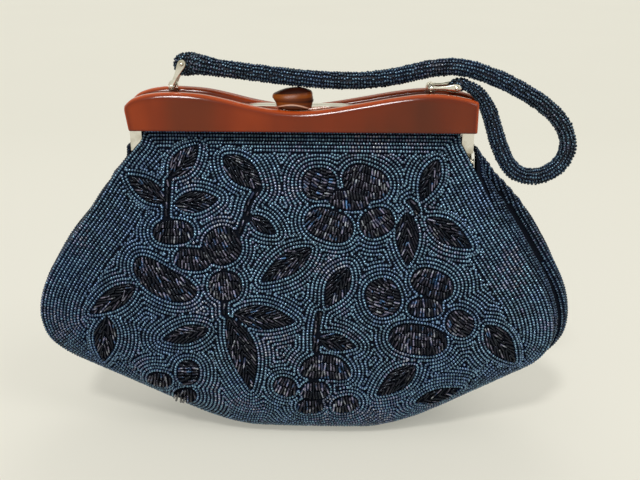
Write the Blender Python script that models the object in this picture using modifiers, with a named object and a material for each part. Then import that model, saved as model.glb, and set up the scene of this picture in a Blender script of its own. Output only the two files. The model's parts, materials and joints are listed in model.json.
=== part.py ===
"""Beaded evening handbag with a hinged frame, clasp, two bails and a rope handle.

Metres, +Z up, the front at -Y. The bag stands on the flat of its base at Z = 0.
"""

import math

import bmesh
import bpy
import numpy as np
from mathutils import Matrix, Vector

# Frame: two halves, each a metal channel with legs and a moulded bar in front of it
BAR_LENGTH = 0.178
BAR_DEPTH = 0.008
BAR_HUMP_HEIGHT = 0.0193
BAR_ROUNDING = 0.0022
BAR_END_SLANT = 0.0018
CHANNEL_DEPTH = 0.004
CHANNEL_HEIGHT = 0.0118
LEG_WIDTH = 0.006
LEG_SETBACK = 0.0005
LEG_OUTER_X = BAR_LENGTH / 2 - LEG_SETBACK
LEG_INNER_X = LEG_OUTER_X - LEG_WIDTH
LEG_DROP = 0.012
HALF_GAP = 0.0003
SEAT_GAP = 0.0003
CUT_OVERRUN = 0.001
SLOT_DEPTH = 0.004
SLOT_END_CLEARANCE = 0.0003

# Frame hinge
HINGE_DROP = 0.018
EAR_RADIUS = 0.0034
EAR_THICKNESS = 0.0025
EAR_NECK_INSET = 0.0002
EAR_CLEARANCE_RISE = 0.0052
EAR_OVERLAP = 0.0015
PIVOT_RADIUS = 0.00115
PIVOT_CLEARANCE = 0.00035
PIVOT_HEAD_RADIUS = 0.0022
PIVOT_HEAD_THICKNESS = 0.0008

# Rivets that hold the bars to the channels
RIVET_RADIUS = 0.0008
RIVET_CLEARANCE = 0.0003
RIVET_RISE = 0.0072
RIVET_BITE = 0.0041
RIVET_SPREAD_SHARES = (-0.79, -0.34, 0.79)

# Body of the bag
BODY_HEIGHT = 0.168
BODY_HALF_WIDTH = 0.139
BODY_HALF_DEPTH = 0.0325
PANEL_SIDE_CLEARANCE = 0.0015
PANEL_TOP_HALF_WIDTH = LEG_INNER_X - PANEL_SIDE_CLEARANCE
PANEL_THICKNESS = 0.0018
PANEL_TUCK = 0.003
PANEL_EXIT_DROP = 0.0008
SEAM_GAP = 0.0004
BASE_HALF_LENGTH = 0.030
LEAN = 0.0055
BASE_RISE_POWER = 1.5
CROWN_POWER = 2.4
BASE_ROUND_POWER = 3.0
GUSSET_THICKNESS = 0.0012
GUSSET_PIVOT_CLEARANCE = 0.00094
GUSSET_BULGE_RIGHT = 0.0165
GUSSET_BULGE_LEFT = 0.0025
LINING_THICKNESS = 0.0006
LINING_GAP = 0.0008
POCKET_THICKNESS = 0.0006
POCKET_GAP = 0.0003

# Clasp
CLASP_X = -0.0044
CLASP_WIDTH = 0.008
CLASP_SIDE_CLEARANCE = 0.0006
CLASP_PIVOT_RISE = 0.0075
CLASP_PIVOT_Y = 0.002
CLASP_PIN_RADIUS = 0.0005
CLASP_PIN_CLEARANCE = 0.0003
CLASP_PIN_LENGTH = 0.015
STEM_THICKNESS = 0.0026
STEM_FOOT_RISE = 0.0055
NOTCH_FLOOR_RISE = 0.0048
LEVER_LENGTH = 0.0175
LEVER_DEPTH = 0.0084
LEVER_THICKNESS = 0.0009
LEVER_CLEARANCE = 0.0006
CATCH_HEIGHT = 0.0015
CATCH_DEPTH = 0.0032
SPRING_THICKNESS = 0.0004
SPRING_WIDTH = 0.005
SPRING_HEIGHT = 0.0055
SPRING_GAP = 0.0004
KNOB_LENGTH = 0.0205
KNOB_DEPTH = 0.0108
KNOB_HEIGHT = 0.0063
KNOB_RIVET_RADIUS = 0.0009
KNOB_RIVET_BITE = 0.003

# Bails
POST_INSET = 0.0233
POST_X = BAR_LENGTH / 2 - POST_INSET
POST_WIDTH = 0.005
POST_THICKNESS = 0.0016
BAIL_PIVOT_RISE = 0.0211
BAIL_LENGTH = 0.0128
BAIL_WIRE_RADIUS = 0.00085
BAIL_BALL_RADIUS = 0.0015
BAIL_PIN_RADIUS = 0.0006
BAIL_PIN_CLEARANCE = 0.0003
BAIL_PIN_HEAD = 0.0005
BAIL_SIDE_GAP = 0.0003
BAIL_CORNER_RADIUS = 0.0016
LEFT_BAIL_TILT = math.radians(27)
RIGHT_BAIL_TILT = math.radians(90)

# Rope handle
ROPE_RADIUS = 0.0045
ROPE_STEP = 0.0042
ROPE_BEVEL_RESOLUTION = 3
END_LOOP_RADIUS = 0.0023
END_LOOP_TUBE_RADIUS = 0.0011
END_LOOP_POINTS = 16

SHARP_ANGLE = math.radians(35)
ROUND_SIDES = 20
PIN_SIDES = 12
PANEL_COLUMNS = 22
GUSSET_COLUMNS = 8

# Outline of a bar: place along its half length from the middle, and height of its top edge
BAR_TOP_SHARES = (
    (-1.0, 0.64), (-0.965, 0.79), (-0.91, 0.90), (-0.83, 0.975), (-0.75, 1.0), (-0.655, 0.99),
    (-0.54, 0.94), (-0.42, 0.825), (-0.30, 0.69), (-0.18, 0.585), (-0.065, 0.53), (0.05, 0.53),
    (0.17, 0.60), (0.28, 0.685), (0.39, 0.775), (0.55, 0.905), (0.695, 0.985), (0.79, 0.985),
    (0.89, 0.93), (0.965, 0.85), (1.0, 0.79),
)
# Side edge of the bag: drop below the frame, how far it has spread to its shoulder beside the
# hinge, how far from there to its widest, and lean to the right
SIDE_SHARES = (
    (0.0, 0.0, 0.0, 0.0), (0.03, 0.043, 0.0, -0.05), (0.06, 0.405, 0.0, -0.2), (0.11, 1.0, 0.0, -0.42),
    (0.23, 1.0, 0.265, -0.68), (0.37, 1.0, 0.615, -0.95), (0.535, 1.0, 0.947, -0.82), (0.63, 1.0, 1.0, -0.58),
    (0.70, 1.0, 0.935, -0.3), (0.745, 1.0, 0.794, 0.05), (0.80, 1.0, 0.5, 0.5), (0.85, 1.0, 0.192, 0.8),
    (0.90, 1.0, -0.118, 1.0),
)
# Half depth of the bag down a panel, at its middle and at its side edge
DEPTH_SHARES = (
    (0.0, 0.098, 0.098), (0.03, 0.24, 0.222), (0.06, 0.31, 0.226), (0.107, 0.39, 0.232),
    (0.24, 0.57, 0.31), (0.42, 0.80, 0.43), (0.60, 0.965, 0.52), (0.75, 1.0, 0.45),
    (0.87, 0.93, 0.28), (0.95, 0.78, 0.14), (1.0, 0.54, 0.08),
)
ROW_SHARES = (
    0.0, 0.03, 0.06, 0.10, 0.15, 0.21, 0.28, 0.36, 0.44, 0.52, 0.58, 0.63, 0.68, 0.72, 0.76, 0.80,
    0.84, 0.88, 0.92, 0.96, 1.0,
)
GUSSET_ROW_SHARES = (
    0.10, 0.15, 0.21, 0.28, 0.36, 0.44, 0.52, 0.58, 0.63, 0.68, 0.72, 0.76, 0.80, 0.84, 0.88, 0.92, 0.95,
)
# How far the gusset bulges down its length
GUSSET_BULGE_SHARES = (
    (0.0, 0.2), (0.10, 0.45), (0.21, 0.95), (0.36, 1.0), (0.52, 0.78), (0.68, 0.62), (0.84, 0.5), (1.0, 0.0),
)
LINING_ROW_SHARES = (0.05, 0.10, 0.15, 0.22, 0.31, 0.41, 0.52, 0.62, 0.71, 0.79, 0.86, 0.92, 0.965)
LINING_WIDTH_SHARES = ((0.0, 0.82), (0.15, 0.82), (0.32, 0.92), (0.7, 0.92), (1.0, 0.84))
POCKET_ROW_SHARES = (0.30, 0.38, 0.46, 0.54, 0.60)
POCKET_HALF_SPREAD_SHARE = 0.28
KNOB_PROFILE_SHARES = (
    (0.0, 1.0), (0.55, 0.985), (0.84, 0.94), (0.96, 0.85), (1.0, 0.66), (0.975, 0.40), (0.90, 0.14),
    (0.84, 0.0), (0.0, 0.0),
)
BASE_STRIP_SHARES = (0.66, 0.33, 0.0)

# Centreline of the rope handle from the left bail to the right one: x and z from the middle of
# the bars' lower edge, y from the closing plane, and the rope's thickness there
ROPE_ROUTE = (
    (-0.0561, 0.0023, 0.0322, 1.10), (-0.0510, 0.0023, 0.0315, 1.18), (-0.0450, 0.0022, 0.0303, 1.04),
    (-0.0337, 0.0018, 0.0289, 1.0), (-0.0205, 0.0014, 0.0273, 1.0), (-0.0057, 0.0010, 0.0257, 1.0),
    (0.0075, 0.0010, 0.0246, 1.0), (0.0222, 0.0012, 0.0240, 1.0), (0.0395, 0.0016, 0.0249, 1.0),
    (0.0500, 0.0019, 0.0266, 1.0), (0.0590, 0.0021, 0.0287, 1.0), (0.0675, 0.0023, 0.0304, 1.0),
    (0.0765, 0.0024, 0.0311, 1.0), (0.0855, 0.0026, 0.0299, 1.0), (0.0950, 0.0028, 0.0268, 1.0),
    (0.1057, 0.0030, 0.0224, 1.0), (0.1156, 0.0031, 0.0172, 1.0), (0.1243, 0.0031, 0.0116, 1.0),
    (0.1312, 0.0030, 0.0055, 1.0), (0.1360, 0.0028, -0.0015, 1.0), (0.1380, 0.0025, -0.0090, 1.0),
    (0.1364, 0.0022, -0.0160, 1.0), (0.1318, 0.0018, -0.0216, 1.0), (0.1250, 0.0014, -0.0249, 1.0),
    (0.1178, 0.0010, -0.0253, 1.0), (0.1114, 0.0008, -0.0228, 1.0), (0.1068, 0.0007, -0.0178, 1.0),
    (0.1035, 0.0006, -0.0115, 1.0), (0.1004, 0.0006, -0.0040, 1.0), (0.0977, 0.0008, 0.0042, 0.98),
    (0.0945, 0.0010, 0.0118, 0.90), (0.0904, 0.0015, 0.0176, 0.78), (0.0862, 0.0020, 0.0208, 0.68),
    (0.0829, 0.0023, 0.0220, 0.62),
)

# Colours, roughness and metallic value of the finishes
FINISHES = {
    "beads": ((0.035, 0.085, 0.13), 0.25, 0.35),
    "gusset_beads": ((0.03, 0.07, 0.11), 0.28, 0.35),
    "tortoise": ((0.33, 0.075, 0.018), 0.12, 0.0),
    "knob": ((0.20, 0.055, 0.018), 0.12, 0.0),
    "silver_metal": ((0.72, 0.69, 0.62), 0.28, 1.0),
    "satin": ((0.02, 0.03, 0.06), 0.45, 0.0),
}


def clear_scene():
    """Removes every object that the file holds at the start."""
    for obj in list(bpy.data.objects):
        bpy.data.objects.remove(obj)


def make_collection(name):
    collection = bpy.data.collections.new(name)
    bpy.context.scene.collection.children.link(collection)
    return collection


def make_finish(name):
    colour, roughness, metallic = FINISHES[name]
    material = bpy.data.materials.new(name)
    material.use_nodes = True
    shader = material.node_tree.nodes["Principled BSDF"]
    shader.inputs["Base Color"].default_value = (*colour, 1.0)
    shader.inputs["Roughness"].default_value = roughness
    shader.inputs["Metallic"].default_value = metallic
    return material


def read_table(table, at, column=1):
    """A value read from a table of stations, on a smooth cubic through them."""
    places = np.array([row[0] for row in table])
    values = np.array([row[column] for row in table])
    slopes = np.gradient(values, places)
    low = int(np.clip(np.searchsorted(places, at) - 1, 0, len(places) - 2))
    span = places[low + 1] - places[low]
    t = min(max((at - places[low]) / span, 0.0), 1.0)
    start = (1 + 2 * t) * (1 - t) ** 2 * values[low] + t * (1 - t) ** 2 * span * slopes[low]
    end = t * t * (3 - 2 * t) * values[low + 1] + t * t * (t - 1) * span * slopes[low + 1]
    return float(start + end)


class Handbag:
    """Collections, finishes and the empties that the pieces hang on."""

    def __init__(self):
        self.parts = make_collection("beaded_handbag")
        self.cutters = make_collection("cutters")
        self.finishes = {name: make_finish(name) for name in FINISHES}
        self.axes = {}

    def axis(self, name, place, parent=None):
        empty = bpy.data.objects.new(name, None)
        self.cutters.objects.link(empty)
        empty.location = place
        if parent:
            empty.parent = self.axes[parent]
            empty.location = Vector(place) - self.place_of(parent)
        self.axes[name] = empty
        return empty

    def place_of(self, name):
        """Where an axis lies in the handbag's own coordinates."""
        place = Vector((0, 0, 0))
        empty = self.axes[name]
        while empty.parent:
            place += empty.location
            empty = empty.parent
        return place

    def add(self, obj, axis, finish):
        """Makes obj a piece of the bag: its mesh is in the bag's coordinates, its origin on its axis."""
        place = self.place_of(axis)
        obj.data.transform(Matrix.Translation(-place))
        for modifier in obj.modifiers:
            if modifier.type == "BOOLEAN":
                self.hang_cutter(modifier.object, axis)
        obj.parent = self.axes[axis]
        obj.data.materials.clear()
        obj.data.materials.append(self.finishes[finish])
        obj.data.polygons.foreach_set("use_smooth", [True] * len(obj.data.polygons))
        obj.data.set_sharp_from_angle(angle=SHARP_ANGLE)
        self.parts.objects.link(obj)
        return obj

    def hang_cutter(self, cutter, axis):
        if cutter.parent is None:
            cutter.data.transform(Matrix.Translation(-self.place_of(axis)))
            cutter.parent = self.axes[axis]

    def cut(self, obj, cutter, operation="DIFFERENCE"):
        """Cuts obj with cutter, or joins it on, and keeps the cutter out of the model."""
        if cutter.name not in self.cutters.objects:
            self.cutters.objects.link(cutter)
        cutter.hide_render = True
        cutter.display_type = "WIRE"
        modifier = obj.modifiers.new(cutter.name, "BOOLEAN")
        modifier.operation = operation
        modifier.object = cutter
        return obj


def mesh_object(name, mesh_editor):
    mesh = bpy.data.meshes.new(name)
    mesh_editor.to_mesh(mesh)
    mesh_editor.free()
    return bpy.data.objects.new(name, mesh)


def box(name, low, high):
    """A closed box between two corners."""
    editor = bmesh.new()
    bmesh.ops.create_cube(editor, size=1.0)
    size = Vector(high) - Vector(low)
    middle = (Vector(high) + Vector(low)) / 2
    bmesh.ops.scale(editor, vec=size, verts=editor.verts)
    bmesh.ops.translate(editor, vec=middle, verts=editor.verts)
    return mesh_object(name, editor)


def rod(name, start, end, radius, sides=PIN_SIDES):
    """A closed cylinder from start to end."""
    start, end = Vector(start), Vector(end)
    direction = end - start
    turn = direction.to_track_quat("Z", "Y").to_matrix().to_4x4()
    editor = bmesh.new()
    bmesh.ops.create_cone(
        editor, cap_ends=True, segments=sides, radius1=radius, radius2=radius, depth=direction.length,
        matrix=Matrix.Translation((start + end) / 2) @ turn,
    )
    return mesh_object(name, editor)


def ball(name, centre, radius, sides=PIN_SIDES):
    editor = bmesh.new()
    bmesh.ops.create_uvsphere(
        editor, u_segments=sides, v_segments=sides // 2 + 1, radius=radius, matrix=Matrix.Translation(centre)
    )
    return mesh_object(name, editor)


def as_mesh(obj):
    """The evaluated shape of a curve or of an object with modifiers, as a plain mesh object."""
    bpy.context.scene.collection.objects.link(obj)
    bpy.context.view_layer.update()
    evaluated = obj.evaluated_get(bpy.context.evaluated_depsgraph_get())
    mesh = bpy.data.meshes.new_from_object(evaluated)
    mesh.transform(obj.matrix_world)
    name = obj.name
    bpy.data.objects.remove(obj)
    editor = bmesh.new()
    editor.from_mesh(mesh)
    bmesh.ops.remove_doubles(editor, verts=editor.verts, dist=SEAT_GAP / 100)
    bmesh.ops.recalc_face_normals(editor, faces=editor.faces)
    editor.to_mesh(mesh)
    editor.free()
    mesh.name = name
    return bpy.data.objects.new(name, mesh)


def plate(name, outline, thickness, turn, place):
    """A flat outline given thickness, turned and put in its place."""
    curve = bpy.data.curves.new(name, "CURVE")
    curve.dimensions = "2D"
    curve.fill_mode = "BOTH"
    curve.extrude = thickness / 2
    spline = curve.splines.new("POLY")
    spline.points.add(len(outline) - 1)
    for point, (across, up) in zip(spline.points, outline):
        point.co = (across, up, 0, 1)
    spline.use_cyclic_u = True
    obj = bpy.data.objects.new(name, curve)
    obj.matrix_world = Matrix.Translation(place) @ turn
    return as_mesh(obj)


# A plate drawn in X and Z, and one drawn in Y and Z
FACING_FRONT = Matrix(((1, 0, 0, 0), (0, 0, -1, 0), (0, 1, 0, 0), (0, 0, 0, 1)))
FACING_SIDE = Matrix(((0, 0, 1, 0), (1, 0, 0, 0), (0, 1, 0, 0), (0, 0, 0, 1)))


def tube(name, points, radius, thicknesses=None, cyclic=False, resolution=2):
    """A wire or rope along points."""
    curve = bpy.data.curves.new(name, "CURVE")
    curve.dimensions = "3D"
    curve.bevel_depth = radius
    curve.bevel_resolution = resolution
    curve.use_fill_caps = True
    spline = curve.splines.new("POLY")
    spline.points.add(len(points) - 1)
    for index, (point, place) in enumerate(zip(spline.points, points)):
        point.co = (*place, 1)
        if thicknesses is not None:
            point.radius = float(thicknesses[index])
    spline.use_cyclic_u = cyclic
    return as_mesh(bpy.data.objects.new(name, curve))


def turned(name, profile, sides=ROUND_SIDES):
    """A profile of radius and height, from the top down its outer side, turned about Z."""
    editor = bmesh.new()
    corners = [editor.verts.new((radius, 0, height)) for radius, height in profile]
    for upper, lower in zip(corners, corners[1:]):
        editor.edges.new((upper, lower))
    obj = mesh_object(name, editor)
    screw = obj.modifiers.new("turn", "SCREW")
    screw.steps = sides
    screw.render_steps = sides
    screw.use_merge_vertices = True
    screw.merge_threshold = SEAT_GAP / 30
    return as_mesh(obj)


def sheet(name, rows, thickness, flip=False):
    """A surface through rows of points, given thickness on its inner side."""
    editor = bmesh.new()
    grid = [[editor.verts.new(point) for point in row] for row in rows]
    for upper, lower in zip(grid, grid[1:]):
        for j in range(len(upper) - 1):
            corners = (upper[j], lower[j], lower[j + 1], upper[j + 1])
            editor.faces.new(corners[::-1] if flip else corners)
    obj = mesh_object(name, editor)
    thicken(obj, thickness)
    return obj


def thicken(obj, thickness):
    solidify = obj.modifiers.new("thickness", "SOLIDIFY")
    solidify.thickness = thickness
    solidify.offset = -1
    solidify.use_even_offset = True


def side_curve():
    """The right-hand side edge, from the frame down: places, and shares of its length."""
    drops = np.linspace(SIDE_SHARES[0][0], SIDE_SHARES[-1][0], 4 * len(SIDE_SHARES))
    columns = [[read_table(SIDE_SHARES, d, k) for d in drops] for k in (1, 2, 3)]
    to_shoulder, to_side, leans = np.array(columns)
    shoulder = LEG_OUTER_X + SEAT_GAP + PIVOT_HEAD_THICKNESS + GUSSET_THICKNESS + GUSSET_PIVOT_CLEARANCE
    widths = PANEL_TOP_HALF_WIDTH + to_shoulder * (shoulder - PANEL_TOP_HALF_WIDTH)
    widths = widths + to_side * (BODY_HALF_WIDTH - shoulder)
    heights = (BODY_HEIGHT - PANEL_EXIT_DROP) * (1 - drops)
    lengths = np.concatenate([[0], np.cumsum(np.hypot(np.diff(widths), np.diff(heights)))])
    return widths, leans * LEAN, heights, lengths / lengths[-1]


SIDE_WIDTHS, SIDE_LEANS, SIDE_HEIGHTS, SIDE_PLACES = side_curve()


def side_point(v, side):
    """The side edge at a share v of its length, to the right (1) or left (-1)."""
    width = np.interp(v, SIDE_PLACES, SIDE_WIDTHS)
    lean = np.interp(v, SIDE_PLACES, SIDE_LEANS)
    height = np.interp(v, SIDE_PLACES, SIDE_HEIGHTS)
    return np.array([side * width + lean, height])


def base_point(across):
    """The bag's lower edge, from its left (-1) to its right (1) corner."""
    corner = side_point(1, 1)
    half_width = corner[0] - LEAN
    along = abs(across) * half_width
    free = max(along - BASE_HALF_LENGTH, 0) / (half_width - BASE_HALF_LENGTH)
    return np.array([across * half_width + LEAN, corner[1] * free**BASE_RISE_POWER])


def front_point(across, v):
    """A point of a panel as seen from the front, by a patch between its four edges."""
    u = (across + 1) / 2
    top = np.array([across * PANEL_TOP_HALF_WIDTH, BODY_HEIGHT - PANEL_EXIT_DROP])
    left, right = side_point(v, -1), side_point(v, 1)
    corners = (
        (1 - u) * (1 - v) * side_point(0, -1) + u * (1 - v) * side_point(0, 1)
        + (1 - u) * v * base_point(-1) + u * v * base_point(1)
    )
    return (1 - v) * top + v * base_point(across) + (1 - u) * left + u * right - corners


def half_depth(across, v):
    """How far a panel's outer face lies from the bag's middle plane."""
    middle = read_table(DEPTH_SHARES, v, 1) * BODY_HALF_DEPTH
    edge = read_table(DEPTH_SHARES, v, 2) * BODY_HALF_DEPTH
    flat = edge + (middle - edge) * (1 - abs(across) ** CROWN_POWER)
    round_base = edge + (middle - edge) * (1 - abs(across) ** BASE_ROUND_POWER)
    return flat + (round_base - flat) * v**4


def panel_rows(face):
    """Rows of a panel from the tuck in the channel down to the seam under the base."""
    spread = np.linspace(-1, 1, PANEL_COLUMNS + 1)
    slot_depth = half_depth(0, 0)
    top = BODY_HEIGHT + PANEL_TUCK
    rows = [[(a * PANEL_TOP_HALF_WIDTH, face * slot_depth, top) for a in spread]]
    for v in ROW_SHARES:
        rows.append([])
        for a in spread:
            x, z = front_point(a, v)
            rows[-1].append((x, face * half_depth(a, v), z))
    for share in BASE_STRIP_SHARES:
        rows.append([])
        for x, y, z in rows[len(ROW_SHARES)]:
            rows[-1].append((x, face * SEAM_GAP / 2 + share * (y - face * SEAM_GAP / 2), z))
    return rows


def make_panels(bag):
    for name, face in (("front_panel", -1), ("back_panel", 1)):
        panel = sheet(name, panel_rows(face), PANEL_THICKNESS, flip=face > 0)
        bag.add(panel, "body", "beads")


def gusset_rows(side, bulge):
    rows = []
    for v in GUSSET_ROW_SHARES:
        x, z = side_point(v, side)
        half = half_depth(side, v) - PANEL_THICKNESS - SEAT_GAP
        out = bulge * read_table(GUSSET_BULGE_SHARES, v)
        rows.append([])
        for a in np.linspace(-1, 1, GUSSET_COLUMNS + 1):
            swell = out * (1 - a * a)
            rows[-1].append((x + side * swell, a * half, z + swell * v * v / 2))
    return rows


def make_gussets(bag):
    for label, side, bulge in (("left", -1, GUSSET_BULGE_LEFT), ("right", 1, GUSSET_BULGE_RIGHT)):
        gusset = sheet(f"gusset_{label}", gusset_rows(side, bulge), GUSSET_THICKNESS, flip=side < 0)
        bag.add(gusset, "body", "gusset_beads")


def panel_point(across, v, face):
    """A point of a panel's outer face."""
    x, z = front_point(across, v)
    return Vector((x, face * half_depth(across, v), z))


def lining_point(across, v, face, inset):
    """A point that lies inset from a panel's outer face, square to it."""
    spread = across * read_table(LINING_WIDTH_SHARES, v)
    step = 1 / PANEL_COLUMNS
    along = panel_point(spread + step, v, face) - panel_point(spread - step, v, face)
    down = panel_point(spread, min(v + step, 1), face) - panel_point(spread, v - step, face)
    inward = along.cross(down).normalized()
    if inward.y * face > 0:
        inward.negate()
    return panel_point(spread, v, face) + inset * inward


def make_lining(bag):
    """A sewn bag inside the panels, open at the frame."""
    inset = PANEL_THICKNESS + LINING_GAP
    spread = np.linspace(-1, 1, PANEL_COLUMNS - 3)
    editor = bmesh.new()
    walls = {}
    for face in (-1, 1):
        walls[face] = [
            [editor.verts.new(lining_point(a, v, face, inset)) for a in spread] for v in LINING_ROW_SHARES
        ]
    last = len(spread) - 1
    for i in range(len(LINING_ROW_SHARES) - 1):
        front, front_below = walls[-1][i], walls[-1][i + 1]
        back, back_below = walls[1][i], walls[1][i + 1]
        for j in range(last):
            editor.faces.new((front[j], front_below[j], front_below[j + 1], front[j + 1]))
            editor.faces.new((back[j + 1], back_below[j + 1], back_below[j], back[j]))
        editor.faces.new((front[last], front_below[last], back_below[last], back[last]))
        editor.faces.new((back[0], back_below[0], front_below[0], front[0]))
    front, back = walls[-1][-1], walls[1][-1]
    for j in range(last):
        editor.faces.new((front[j], back[j], back[j + 1], front[j + 1]))
    lining = mesh_object("lining", editor)
    thicken(lining, LINING_THICKNESS)
    bag.add(lining, "body", "satin")


def make_pocket(bag):
    inset = PANEL_THICKNESS + LINING_GAP + LINING_THICKNESS + POCKET_GAP
    spread = np.linspace(-POCKET_HALF_SPREAD_SHARE, POCKET_HALF_SPREAD_SHARE, 9)
    rows = [[lining_point(a, v, 1, inset) for a in spread] for v in POCKET_ROW_SHARES]
    bag.add(sheet("lining_pocket", rows, POCKET_THICKNESS, flip=True), "body", "satin")


def bar_outline():
    """The bar's outline, with its bottom edge at the body's top."""
    half = BAR_LENGTH / 2
    points = [(x * half, height * BAR_HUMP_HEIGHT) for x, height in BAR_TOP_SHARES]
    return [(-half + BAR_END_SLANT, 0), *points, (half, 0)]


def rivet_places():
    return [(share * BAR_LENGTH / 2, BODY_HEIGHT + RIVET_RISE) for share in RIVET_SPREAD_SHARES]


BAR_BACK = HALF_GAP + CHANNEL_DEPTH + SEAT_GAP


def make_bar(bag, name, face, axis):
    """A moulded bar, rounded along its outer edges, with blind holes for its rivets."""
    outline = bar_outline()
    middle = face * (BAR_BACK + BAR_DEPTH / 2)
    obj = plate(name, outline, BAR_DEPTH, FACING_FRONT, (0, middle, BODY_HEIGHT))
    editor = bmesh.new()
    editor.from_mesh(obj.data)
    outer = face * (BAR_BACK + BAR_DEPTH)
    rim = [
        e for e in editor.edges
        if all(abs(v.co.y - outer) < SEAT_GAP for v in e.verts) and e.calc_face_angle() > SHARP_ANGLE
    ]
    bmesh.ops.bevel(editor, geom=rim, offset=BAR_ROUNDING, segments=3, profile=0.5, affect="EDGES")
    editor.to_mesh(obj.data)
    editor.free()
    for index, (x, z) in enumerate(rivet_places()):
        start = (x, face * (BAR_BACK - CUT_OVERRUN), z)
        end = (x, face * (BAR_BACK + RIVET_BITE + RIVET_CLEARANCE), z)
        bag.cut(obj, rod(f"{name}_hole_{index}", start, end, RIVET_RADIUS + RIVET_CLEARANCE))
    bag.add(obj, axis, "tortoise")


def ear_outline(face):
    """The hinge ear below a leg, in Y and Z from the hinge's centre."""
    inner = face * (HALF_GAP + EAR_NECK_INSET)
    outer = face * (HALF_GAP + CHANNEL_DEPTH - EAR_NECK_INSET)
    rise = HINGE_DROP - LEG_DROP + EAR_OVERLAP
    points = [(outer, rise), (inner, rise), (inner, EAR_CLEARANCE_RISE)]
    for degrees in range(40, -221, -20):
        angle = math.radians(degrees)
        points.append((-face * EAR_RADIUS * math.cos(angle), EAR_RADIUS * math.sin(angle)))
    return points


def make_channel(bag, name, face, axis):
    """A metal half of the frame: the channel that grips a panel, and its two legs."""
    outline = [
        (-LEG_OUTER_X, CHANNEL_HEIGHT), (-LEG_OUTER_X, -LEG_DROP),
        (-LEG_INNER_X, -LEG_DROP), (-LEG_INNER_X, 0), (LEG_INNER_X, 0), (LEG_INNER_X, -LEG_DROP),
        (LEG_OUTER_X, -LEG_DROP), (LEG_OUTER_X, CHANNEL_HEIGHT),
    ]
    middle = face * (HALF_GAP + CHANNEL_DEPTH / 2)
    obj = plate(name, outline, CHANNEL_DEPTH, FACING_FRONT, (0, middle, BODY_HEIGHT))
    ear_place = LEG_INNER_X + EAR_THICKNESS / 2 + EAR_NECK_INSET
    if face > 0:
        ear_place = LEG_OUTER_X - EAR_THICKNESS / 2 - EAR_NECK_INSET
    hinge_height = BODY_HEIGHT - HINGE_DROP
    for label, side in (("left", -1), ("right", 1)):
        ear = plate(
            f"{name}_ear_{label}", ear_outline(face), EAR_THICKNESS, FACING_SIDE,
            (side * ear_place, 0, hinge_height),
        )
        bag.cut(obj, ear, "UNION")
        start = (side * (LEG_INNER_X - CUT_OVERRUN), 0, hinge_height)
        end = (side * (LEG_OUTER_X + CUT_OVERRUN), 0, hinge_height)
        bag.cut(obj, rod(f"{name}_eye_{label}", start, end, PIVOT_RADIUS + PIVOT_CLEARANCE, ROUND_SIDES))
    slot_outer = half_depth(0, 0) + SEAT_GAP
    slot_inner = half_depth(0, 0) - PANEL_THICKNESS - SEAT_GAP
    slot_half = PANEL_TOP_HALF_WIDTH + SLOT_END_CLEARANCE
    depths = sorted((face * slot_outer, face * slot_inner))
    slot = box(
        f"{name}_slot", (-slot_half, depths[0], BODY_HEIGHT - CUT_OVERRUN),
        (slot_half, depths[1], BODY_HEIGHT + SLOT_DEPTH),
    )
    bag.cut(obj, slot)
    for index, (x, z) in enumerate(rivet_places()):
        start = (x, face * (HALF_GAP - CUT_OVERRUN), z)
        end = (x, face * (BAR_BACK + CUT_OVERRUN), z)
        bag.cut(obj, rod(f"{name}_hole_{index}", start, end, RIVET_RADIUS + RIVET_CLEARANCE))
    cut_clasp_notch(bag, obj, name, face)
    bag.add(obj, axis, "silver_metal")


def cut_clasp_notch(bag, obj, name, face):
    """The rear half is notched for the clasp's stem and bored for its pin, the front for the catch."""
    half = CLASP_WIDTH / 2 + CLASP_SIDE_CLEARANCE
    floor = NOTCH_FLOOR_RISE if face > 0 else CHANNEL_HEIGHT - CATCH_HEIGHT - SEAT_GAP
    depths = sorted((face * (HALF_GAP - CUT_OVERRUN), face * (BAR_BACK + CUT_OVERRUN)))
    notch = box(
        f"{name}_notch", (CLASP_X - half, depths[0], BODY_HEIGHT + floor),
        (CLASP_X + half, depths[1], BODY_HEIGHT + CHANNEL_HEIGHT + CUT_OVERRUN),
    )
    bag.cut(obj, notch)
    if face > 0:
        reach = CLASP_PIN_LENGTH / 2 + CLASP_PIN_CLEARANCE
        height = BODY_HEIGHT + CLASP_PIVOT_RISE
        bore = rod(
            f"{name}_bore", (CLASP_X - reach, CLASP_PIVOT_Y, height),
            (CLASP_X + reach, CLASP_PIVOT_Y, height), CLASP_PIN_RADIUS + CLASP_PIN_CLEARANCE,
        )
        bag.cut(obj, bore)


def make_bar_rivets(bag, label, face, axis):
    for index, (x, z) in enumerate(rivet_places()):
        start = (x, face * (HALF_GAP + SEAT_GAP), z)
        end = (x, face * (BAR_BACK + RIVET_BITE), z)
        bag.add(rod(f"{label}_bar_rivet_{index + 1}", start, end, RIVET_RADIUS), axis, "silver_metal")


def make_hinge_pivots(bag):
    """A headed pin through the ears of both halves, on each side."""
    half = LEG_WIDTH / 2 + SEAT_GAP
    head = half + PIVOT_HEAD_THICKNESS
    profile = [
        (0, head), (PIVOT_HEAD_RADIUS, head), (PIVOT_HEAD_RADIUS, half), (PIVOT_RADIUS, half),
        (PIVOT_RADIUS, -half), (PIVOT_HEAD_RADIUS, -half), (PIVOT_HEAD_RADIUS, -head), (0, -head),
    ]
    for label, side in (("left", -1), ("right", 1)):
        obj = turned(f"hinge_pivot_{label}", profile)
        obj.data.transform(Matrix.Rotation(math.pi / 2, 4, "Y"))
        place = (side * (LEG_INNER_X + LEG_WIDTH / 2), 0, BODY_HEIGHT - HINGE_DROP)
        obj.data.transform(Matrix.Translation(place))
        bag.add(obj, "body", "silver_metal")


LEVER_BOTTOM = BODY_HEIGHT + CHANNEL_HEIGHT + LEVER_CLEARANCE
KNOB_BOTTOM = LEVER_BOTTOM + LEVER_THICKNESS + SEAT_GAP


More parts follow.
